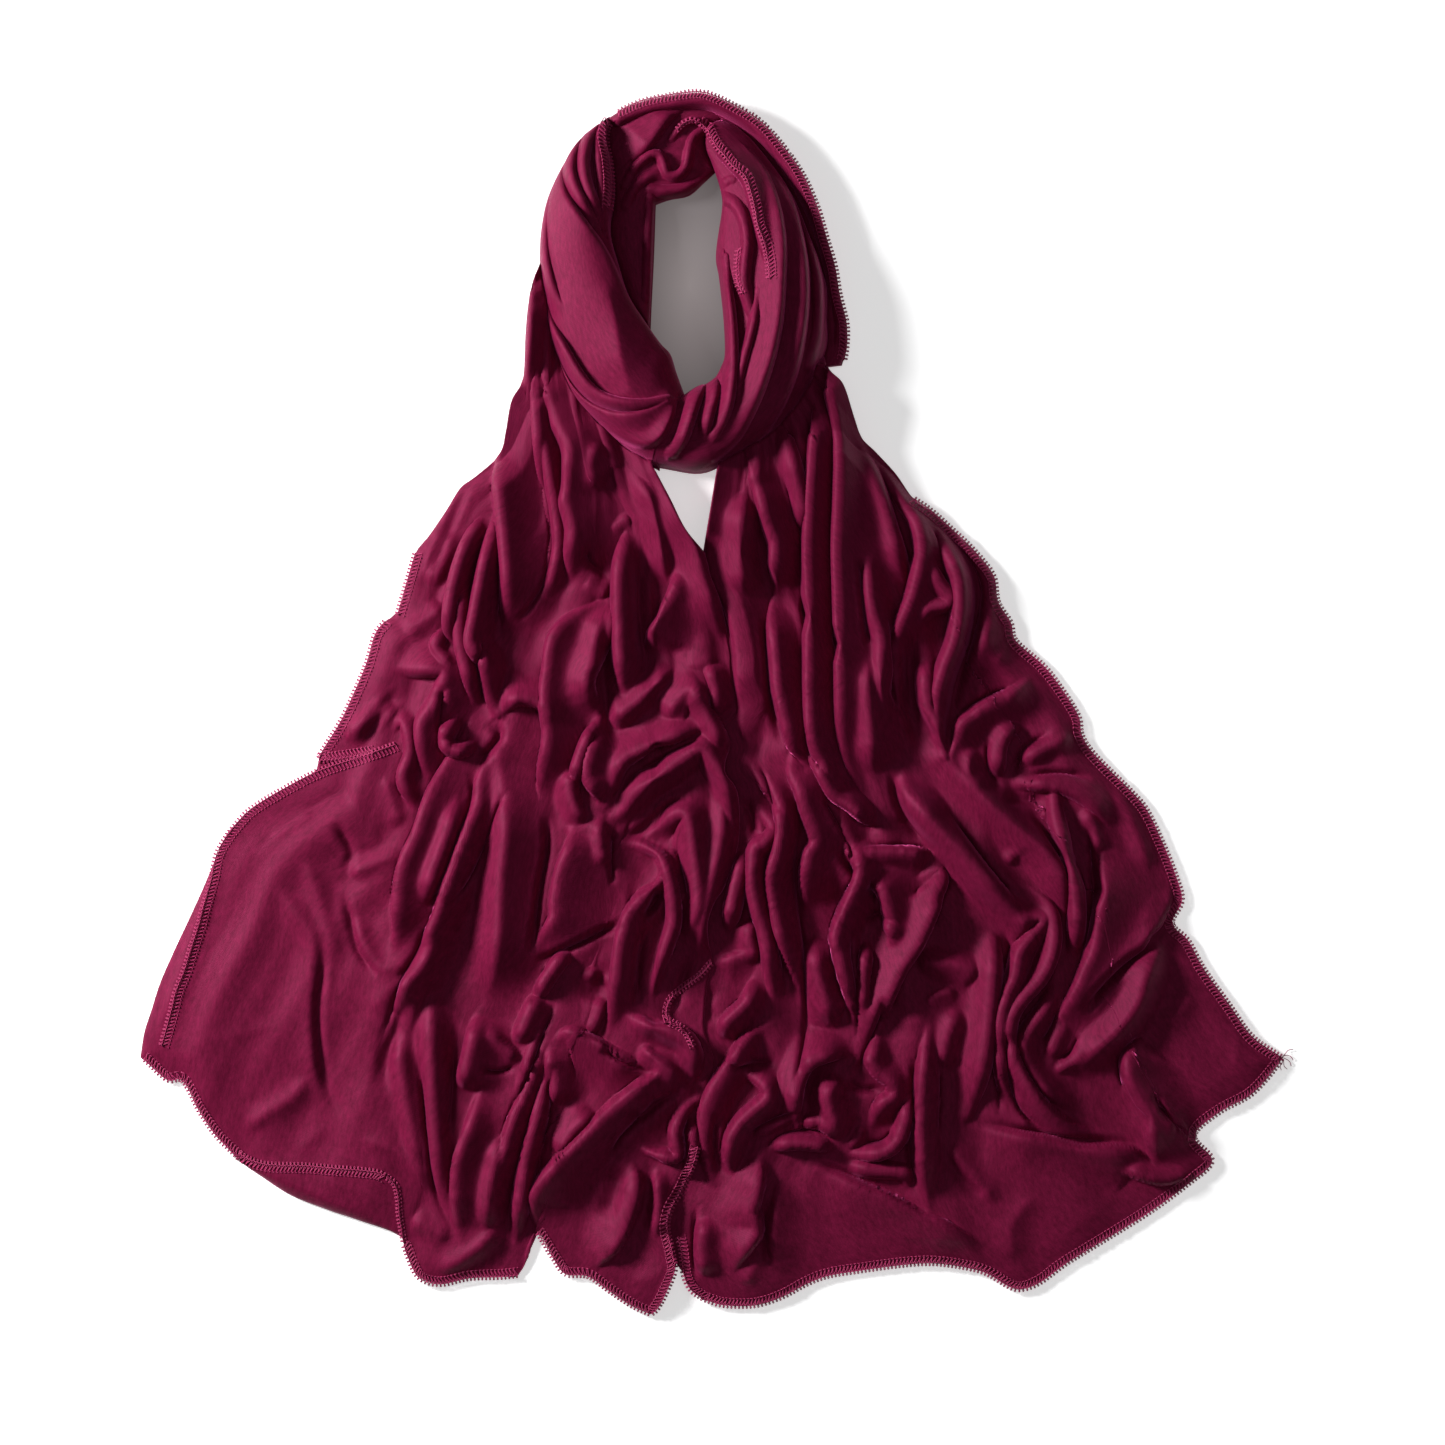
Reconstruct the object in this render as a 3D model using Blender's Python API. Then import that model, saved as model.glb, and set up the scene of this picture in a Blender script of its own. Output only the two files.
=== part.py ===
"""A jersey scarf, wound once into a neck loop and spread out flat on a surface.

One rectangle of jersey makes the whole scarf. Each stretch of it that shows is one solid:
the back of the loop, its left and right front bands, and the left and right tails.
Every stretch is a patch of the plan between four edge curves. Its upper face is a height
worked out from a table of folds, and it keeps a small gap to its neighbours.
"""
from collections import namedtuple

import bpy
import numpy as np

# Driving sizes, in metres
CHART_STEP = 0.00058        # one step of the plan chart: the scarf is 0.66 m wide and 0.71 m long
CLOTH_WALL = 0.0018         # wall of the tails, two layers of jersey in places
SEAM_GAP = 0.00056          # between neighbouring stretches
FRONT_BAND_HEIGHT = 0.034   # crown of the two front bands over the surface, before their pleats
BACK_BAND_HEIGHT = 0.020
TAIL_REST_HEIGHT = 0.0026   # where a tail lies smooth on the surface
TAIL_HEAP_HEIGHT = 0.011    # added beside the loop, where the tails lie on hidden layers
HEAP_REACH = 0.045
EDGE_HEIGHT = 0.0022        # free edges
EDGE_REACH = 0.016          # a free edge rises to the full folds over this distance
STEEPEST_WALL = 3.0         # the upright thickness of a wall is at most this many walls

# The plan chart counts steps right and down, as on a pattern sheet
CHART_CENTRE = (711.0, 704.0)
MM = 0.001

# A fold's crest is walked from its first point to its last. It spreads `right` and `left`
# chart steps to either hand of that walk, `height` is in millimetres, and `start` and `end`
# are the shares of the height left at its two ends.
Fold = namedtuple("Fold", "crest right left height start end", defaults=(0.2, 0.2))
# A crease is pressed into the folds along its path: `share` of the height is taken away.
Crease = namedtuple("Crease", "path spread share")

# Edge curves of the stretches, on the chart
LEFT_RIM = ((600, 129), (588, 139), (576, 151), (561, 174), (548, 205), (542, 238), (541, 269))
LEFT_SEAM = ((541, 269), (545, 300), (551, 335), (560, 364), (574, 396), (588, 414),
             (606, 433), (622, 447), (638, 458), (652, 466))
LEFT_INNER = ((609, 121), (608, 133), (607, 146), (612, 166), (614, 198), (610, 234),
              (619, 270), (629, 300), (645, 325), (660, 346), (670, 357), (676, 375), (684, 397))
BOTTOM_FOLD = ((652, 466), (658, 449), (668, 437), (675, 420), (677, 407), (684, 397))
RIGHT_SEAM = ((652, 466), (669, 469), (692, 473), (706, 472), (718, 467), (742, 454), (760, 444),
              (778, 430), (795, 411), (810, 388), (818, 368))
RIGHT_UNDER_WEDGE = ((818, 368), (826, 345), (826, 319), (826, 290), (819, 266), (807, 235),
                     (791, 197), (762, 155), (740, 131), (724, 122))
RIGHT_TOP = ((724, 122), (713, 128), (707, 139), (707, 152), (711, 163), (715, 172))
HOLE_RIGHT = ((715, 172), (721, 193), (722, 211), (717, 256), (720, 279), (724, 319),
              (725, 353), (722, 367), (713, 382), (695, 390), (684, 397))
HOLE_LEFT = ((650, 322), (651, 300), (653, 260), (655, 205))
HOLE_TOP = ((655, 205), (669, 200), (688, 196), (702, 184), (715, 172))
STRIP_OUTER = ((643, 322), (629, 300), (619, 270), (610, 234), (614, 198), (612, 166), (607, 146),
               (608, 133), (609, 121))
CROWN = ((609, 121), (622, 113), (635, 107), (653, 102), (689, 97), (709, 99), (735, 111), (760, 126),
         (781, 149), (801, 177), (816, 210), (826, 243), (834, 269), (839, 297), (846, 325),
         (846, 348), (841, 365))
TAIL_LEFT_RIM = ((541, 269), (533, 292), (528, 335), (525, 381), (513, 404), (507, 435), (501, 455),
                 (476, 477), (461, 488), (447, 510), (430, 535), (416, 553), (408, 580), (398, 612),
                 (386, 621), (376, 634), (368, 661), (357, 688), (341, 722), (321, 755), (316, 771),
                 (300, 780), (260, 803), (240, 820), (225, 838), (205, 885), (190, 918), (175, 950),
                 (161, 982), (152, 1010), (145, 1032), (141, 1057))
TAIL_LEFT_HEM = ((141, 1057), (168, 1079), (184, 1080), (200, 1110), (217, 1135), (240, 1160),
                 (262, 1176), (292, 1195), (330, 1210), (360, 1220), (400, 1235), (406, 1252),
                 (418, 1275), (440, 1283), (470, 1277), (500, 1276), (519, 1274), (528, 1244),
                 (538, 1231), (554, 1258), (566, 1273), (588, 1275), (607, 1288), (631, 1304),
                 (651, 1313))
CENTRE_SEAM = ((704, 553), (707, 575), (717, 600), (725, 630), (730, 655), (731, 680), (739, 700),
               (736, 713), (723, 728), (726, 748), (722, 770), (735, 795), (736, 845), (722, 885),
               (712, 900), (706, 920), (706, 940), (711, 960), (706, 985), (704, 1010), (704, 1030),
               (711, 1050), (714, 1065), (706, 1085), (700, 1105), (699, 1140), (690, 1170),
               (679, 1192), (669, 1212), (670, 1240), (676, 1262))
GAP_LEFT = ((652, 466), (670, 500), (685, 530), (704, 553))
GAP_RIGHT = ((718, 467), (712, 505), (704, 553))
CORNER_LEFT = ((676, 1262), (668, 1286), (658, 1306), (651, 1313))
CORNER_RIGHT = ((676, 1262), (684, 1273), (691, 1288), (704, 1298))
CENTRE_CELLS = (3, 24, 2)   # along the gap, the seam and the corner, the same on both tails
TAIL_RIGHT_TOP = ((718, 467), (742, 454), (760, 444), (778, 430), (795, 411), (810, 388), (818, 368),
                  (829, 376))
TAIL_RIGHT_HEM = ((704, 1298), (724, 1304), (755, 1304), (781, 1296), (806, 1283), (827, 1275),
                  (857, 1270), (900, 1264), (932, 1262), (964, 1266), (986, 1272), (1008, 1285),
                  (1021, 1288), (1040, 1281), (1066, 1262), (1107, 1237), (1149, 1211),
                  (1187, 1183), (1211, 1160), (1193, 1135), (1219, 1111), (1251, 1093),
                  (1276, 1065), (1281, 1057))
TAIL_RIGHT_RIM = ((829, 376), (842, 389), (853, 420), (861, 440), (875, 453), (895, 474),
                  (913, 499), (933, 513), (956, 534), (976, 554), (993, 577), (997, 602),
                  (1010, 623), (1015, 641), (1043, 666), (1063, 692), (1078, 717), (1081, 735),
                  (1094, 755), (1130, 791), (1146, 810), (1161, 841), (1174, 873), (1181, 900),
                  (1171, 923), (1187, 940), (1203, 969), (1228, 1004), (1251, 1036), (1281, 1057))

TAIL_LEFT_FOLDS = (
    # Beside the loop
    Fold(((515, 395), (502, 450), (501, 480), (509, 570), (509, 615), (503, 650)), 6, 30, 13, 0.8, 0.3),
    Fold(((538, 395), (541, 450), (549, 510), (552, 545), (540, 595), (522, 618)), 3, 16, 11, 0.9, 0.2),
    Fold(((535, 300), (533, 340), (530, 385)), 9, 16, 12, 0.8, 0.8),
    Fold(((552, 400), (562, 430), (573, 455), (567, 495), (575, 530), (572, 560), (575, 600)), 8, 28, 12, 0.8),
    Fold(((604, 440), (593, 460), (594, 478), (606, 492)), 18, 22, 11),
    Fold(((633, 516), (622, 560), (620, 600), (621, 640), (624, 680), (633, 720)), 6, 20, 12, 0.3, 0.2),
    Fold(((610, 536), (622, 524), (635, 518)), 12, 8, 10),
    Fold(((580, 583), (595, 588), (612, 597)), 10, 14, 9),
    Fold(((628, 470), (650, 500), (658, 530), (663, 560), (670, 597)), 12, 10, 9, 0.6, 0.2),
    Fold(((655, 475), (678, 520), (695, 548), (703, 580), (716, 620), (722, 650)), 26, 14, 12, 0.7, 0.4),
    Fold(((682, 560), (676, 590), (663, 612), (652, 634), (647, 660)), 4, 30, 11, 0.4, 0.3),
    Fold(((618, 597), (608, 636), (587, 680), (600, 718)), 26, 5, 12, 0.4, 0.5),
    Fold(((608, 600), (575, 617), (555, 638), (549, 672), (546, 702), (550, 735), (545, 765), (541, 795),
          (550, 815)), 4, 30, 11, 0.5, 0.3),
    # The knot of small folds at the left
    Fold(((487, 510), (467, 550), (455, 590), (451, 628), (459, 658)), 5, 12, 12),
    Fold(((503, 505), (489, 555), (477, 615), (473, 645), (487, 668), (493, 700), (500, 714)), 5, 13, 13, 0.5, 0.6),
    Fold(((466, 565), (462, 612), (462, 642), (470, 680), (478, 716)), 5, 9, 10),
    Fold(((450, 628), (437, 645), (448, 662), (462, 660)), 6, 9, 10, 0.5, 0.5),
    Fold(((462, 714), (446, 735), (450, 748), (465, 750), (480, 738)), 6, 7, 10, 0.4, 0.4),
    Fold(((500, 714), (520, 699), (548, 707), (548, 735)), 5, 14, 10, 0.6, 0.5),
    Fold(((517, 667), (505, 700)), 12, 20, 9, 0.5, 0.3),
    Fold(((375, 664), (410, 669), (446, 672), (437, 702), (423, 727), (427, 765), (435, 795)), 8, 22, 9, 0.3, 0.4),
    Fold(((395, 630), (425, 622), (450, 600)), 18, 14, 6),
    Fold(((340, 742), (362, 725), (402, 697)), 12, 12, 7),
    Fold(((385, 741), (404, 722), (412, 750), (404, 778), (413, 800), (424, 820)), 6, 10, 7),
    Fold(((452, 520), (436, 560), (428, 595)), 12, 12, 6),
    # The long folds below the knot
    Fold(((450, 760), (434, 792), (421, 830), (405, 867), (400, 905), (399, 935), (386, 968)), 4, 34, 12, 0.7, 0.3),
    Fold(((462, 785), (450, 830), (432, 880), (425, 920)), 14, 16, 12, 0.4, 0.2),
    Fold(((497, 750), (483, 775), (474, 820), (455, 870), (440, 915), (420, 960), (400, 1005), (385, 1040),
          (370, 1080)), 4, 17, 13, 0.6, 0.2),
    Fold(((500, 760), (508, 820), (503, 880), (500, 940), (492, 985), (478, 1010)), 18, 32, 12, 0.7, 0.3),
    Fold(((432, 960), (433, 1040), (437, 1120), (443, 1180), (452, 1222)), 14, 14, 9, 0.3, 0.4),
    Fold(((396, 1000), (405, 1080), (420, 1160), (428, 1200)), 12, 14, 7),
    Fold(((481, 1012), (476, 1035), (470, 1062), (462, 1095)), 8, 26, 10, 0.5, 0.2),
    Fold(((484, 1022), (500, 1042), (524, 1062)), 10, 6, 9, 0.4, 0.6),
    Fold(((484, 1083), (470, 1130), (458, 1165), (459, 1215), (463, 1240)), 4, 22, 10, 0.6, 0.6),
    Fold(((505, 1120), (497, 1160), (489, 1200), (488, 1240)), 14, 10, 9, 0.3, 0.5),
    Fold(((541, 990), (528, 1020), (517, 1045)), 8, 16, 11, 0.4, 0.5),
    Fold(((545, 1010), (530, 1060), (518, 1105), (503, 1160), (500, 1200)), 5, 12, 9, 0.5, 0.3),
    Fold(((549, 1055), (540, 1105), (528, 1155), (520, 1205), (514, 1255)), 5, 9, 9, 0.4, 0.4),
    # The middle of the left tail
    Fold(((600, 720), (586, 745), (575, 780), (578, 789)), 5, 7, 12, 0.6, 0.4),
    Fold(((601, 722), (588, 770), (596, 790), (606, 806)), 3, 26, 12, 0.5, 0.6),
    Fold(((553, 823), (574, 834), (562, 870), (557, 900), (556, 917), (543, 938), (531, 955)), 4, 40, 11, 0.4, 0.4),
    Fold(((570, 760), (573, 800), (590, 830)), 12, 8, 9),
    Fold(((600, 812), (600, 845), (606, 872)), 10, 8, 10, 0.5, 0.2),
    Fold(((608, 803), (617, 772), (627, 758), (648, 747), (672, 737), (700, 728), (714, 722)), 5, 16, 11, 0.6, 0.6),
    Fold(((606, 822), (622, 812), (640, 790), (662, 774), (686, 758), (702, 749), (716, 765), (727, 788),
          (733, 840)), 10, 12, 12, 0.6, 0.6),
    Fold(((640, 842), (660, 826), (686, 813), (694, 850), (699, 900), (690, 930), (678, 962)), 12, 16, 11, 0.4, 0.3),
    Fold(((718, 770), (722, 830), (712, 880), (702, 930), (690, 980)), 16, 10, 9, 0.4, 0.3),
    Fold(((624, 843), (645, 846), (662, 858), (671, 885), (674, 920), (664, 950), (654, 985), (652, 1010)),
         6, 6, 12, 0.5, 0.4),
    Fold(((636, 853), (655, 855), (664, 874), (640, 900), (629, 916), (621, 945), (616, 990), (612, 1020),
          (605, 1040)), 4, 22, 11, 0.4, 0.5),
    Fold(((600, 730), (640, 700), (668, 672), (682, 664)), 10, 20, 9),
    Fold(((682, 664), (700, 665), (718, 655)), 6, 18, 9, 0.5, 0.5),
    Fold(((685, 668), (700, 700), (716, 735), (722, 765)), 16, 8, 10, 0.5, 0.3),
    Fold(((706, 660), (716, 690), (714, 720)), 8, 12, 10, 0.6, 0.6),
    Fold(((660, 725), (690, 690), (700, 720)), 20, 20, 9),
    # Down to the hem
    Fold(((575, 945), (560, 960), (545, 982), (536, 1002)), 5, 8, 10, 0.3, 0.5),
    Fold(((575, 978), (600, 973), (618, 990)), 8, 8, 7),
    Fold(((604, 995), (597, 1018), (586, 1038)), 12, 6, 9, 0.4, 0.3),
    Fold(((550, 1048), (568, 1030), (592, 1040), (622, 1056), (650, 1071)), 26, 4, 9, 0.5, 0.6),
    Fold(((551, 1040), (551, 1075), (553, 1110)), 4, 20, 9, 0.6, 0.2),
    Fold(((633, 1037), (648, 1050), (659, 1068), (640, 1085), (615, 1105), (585, 1135), (560, 1160),
          (538, 1190), (535, 1208), (543, 1235)), 4, 26, 12, 0.5, 0.6),
    Fold(((600, 1110), (575, 1128), (556, 1160)), 14, 16, 9, 0.4, 0.2),
    Fold(((620, 1012), (645, 1022), (684, 1036), (695, 1060), (690, 1085)), 12, 6, 11, 0.5, 0.4),
    Fold(((638, 1040), (660, 1060), (684, 1083)), 12, 5, 11, 0.4, 0.7),
    Fold(((633, 1143), (655, 1152), (677, 1154), (676, 1128), (686, 1108), (698, 1098)), 5, 5, 9, 0.4, 0.6),
    Fold(((655, 1160), (659, 1200), (655, 1245)), 8, 10, 7),
    Fold(((628, 1150), (637, 1185), (622, 1235), (603, 1258), (588, 1272)), 24, 4, 8, 0.3, 0.6),
    Fold(((676, 1262), (650, 1276), (625, 1282)), 12, 12, 5),
    Fold(((690, 1110), (694, 1150), (684, 1185)), 8, 6, 7),
    # The smooth lower panel
    Fold(((343, 878), (368, 867), (392, 857), (412, 850)), 16, 12, 4, 0.0, 0.5),
    Fold(((383, 765), (393, 800), (405, 835)), 14, 12, 4, 0.0, 0.0),
    Fold(((235, 843), (262, 868), (292, 905), (316, 942), (319, 985), (313, 1040), (318, 1085), (345, 1140)),
         22, 18, 4.5, 0.0, 0.0),
    Fold(((262, 843), (290, 830), (325, 808)), 14, 14, 2.5, 0.0, 0.0),
    Fold(((296, 830), (310, 868), (330, 930), (347, 985)), 16, 14, 4, 0.0, 0.0),
    Fold(((360, 900), (358, 925), (370, 950), (388, 968), (425, 955)), 12, 12, 5, 0.0, 0.4),
    Fold(((425, 955), (386, 995), (369, 1022)), 12, 14, 4.5, 0.4, 0.0),
    Fold(((172, 1055), (205, 1042), (245, 1031), (300, 1022)), 14, 14, 3, 0.4, 0.0),
    Fold(((316, 1058), (298, 1092), (262, 1117), (236, 1140)), 16, 14, 4, 0.0, 0.3),
    Fold(((345, 1133), (390, 1146), (420, 1170), (430, 1205)), 14, 14, 5, 0.0, 0.2),
    Fold(((337, 1118), (310, 1142), (292, 1160)), 14, 12, 3, 0.0, 0.0),
    Fold(((405, 1215), (432, 1228), (458, 1240)), 12, 14, 6),
    Fold(((425, 1268), (455, 1262), (488, 1236), (500, 1210)), 14, 12, 6, 0.4, 0.4),
    Fold(((222, 850), (205, 900), (186, 960), (165, 1020), (150, 1050)), 10, 14, 4.5, 0.6, 0.6),
    Fold(((232, 1150), (262, 1170), (320, 1196), (395, 1226)), 12, 16, 5, 0.4, 0.6),
)

TAIL_LEFT_CREASES = (
    Crease(((540, 440), (546, 480), (551, 510), (554, 545), (546, 580), (532, 603), (517, 622)), 6, 0.7),
    Crease(((640, 545), (638, 600), (641, 640), (650, 690)), 13, 0.7),
    Crease(((613, 615), (604, 660), (607, 700), (612, 750)), 11, 0.6),
    Crease(((500, 540), (500, 580), (497, 625)), 5, 0.6),
    Crease(((492, 722), (500, 738), (478, 765)), 9, 0.8),
    Crease(((472, 772), (474, 800), (461, 832), (448, 870), (428, 908)), 7, 0.7),
    Crease(((508, 790), (487, 840), (466, 882), (447, 905)), 5, 0.5),
    Crease(((546, 815), (547, 850), (541, 885), (536, 920), (531, 952)), 8, 0.7),
    Crease(((535, 962), (562, 950), (600, 932), (626, 922)), 8, 0.8),
    Crease(((578, 985), (598, 992), (606, 960)), 12, 0.5),
    Crease(((620, 836), (642, 830), (670, 806), (690, 797)), 8, 0.7),
    Crease(((630, 777), (650, 766), (680, 750), (702, 742)), 5, 0.6),
    Crease(((612, 828), (611, 860), (613, 885)), 6, 0.7),
    Crease(((664, 888), (652, 904), (640, 917)), 8, 0.8),
    Crease(((676, 842), (683, 868), (690, 900)), 6, 0.6),
    Crease(((645, 925), (638, 960), (636, 1005)), 9, 0.6),
    Crease(((690, 955), (680, 990), (672, 1015)), 8, 0.6),
    Crease(((480, 1068), (500, 1070), (516, 1066)), 5, 0.8),
    Crease(((556, 1000), (546, 1026), (533, 1062), (520, 1096), (505, 1126)), 4, 0.6),
    Crease(((545, 1062), (535, 1106), (522, 1152), (511, 1200), (504, 1240)), 4, 0.6),
    Crease(((553, 1062), (549, 1112), (545, 1155)), 4, 0.6),
    Crease(((600, 1046), (622, 1060), (651, 1072)), 4, 0.6),
    Crease(((682, 1087), (660, 1100), (630, 1124), (615, 1142), (607, 1165)), 7, 0.8),
    Crease(((622, 1165), (613, 1195), (604, 1220)), 15, 0.6),
    Crease(((650, 1160), (648, 1195), (640, 1230)), 8, 0.5),
    Crease(((690, 1165), (680, 1187), (670, 1203)), 6, 0.7),
    Crease(((625, 1106), (655, 1118)), 10, 0.4),
    Crease(((322, 930), (323, 965), (319, 1005), (320, 1045), (328, 1085), (343, 1115)), 9, 0.6),
    Crease(((336, 822), (352, 850), (344, 872)), 8, 0.5),
    Crease(((345, 890), (352, 922), (361, 952), (380, 976)), 7, 0.5),
    Crease(((408, 985), (397, 1022), (388, 1055), (382, 1095)), 14, 0.6),
    Crease(((421, 1050), (429, 1130), (437, 1190), (456, 1232)), 7, 0.6),
    Crease(((430, 928), (420, 955), (402, 980)), 9, 0.5),
    Crease(((452, 1040), (452, 1090), (447, 1140)), 8, 0.5),
    Crease(((472, 478), (460, 505), (443, 545), (425, 590)), 8, 0.4),
    Crease(((445, 685), (440, 720), (444, 748)), 5, 0.6),
    Crease(((480, 640), (484, 680), (489, 705)), 4, 0.6),
    Crease(((404, 690), (382, 712), (362, 745)), 10, 0.4),
    Crease(((558, 430), (566, 470), (562, 510)), 5, 0.5),
    Crease(((585, 545), (592, 565), (612, 575)), 8, 0.5),
)

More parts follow.
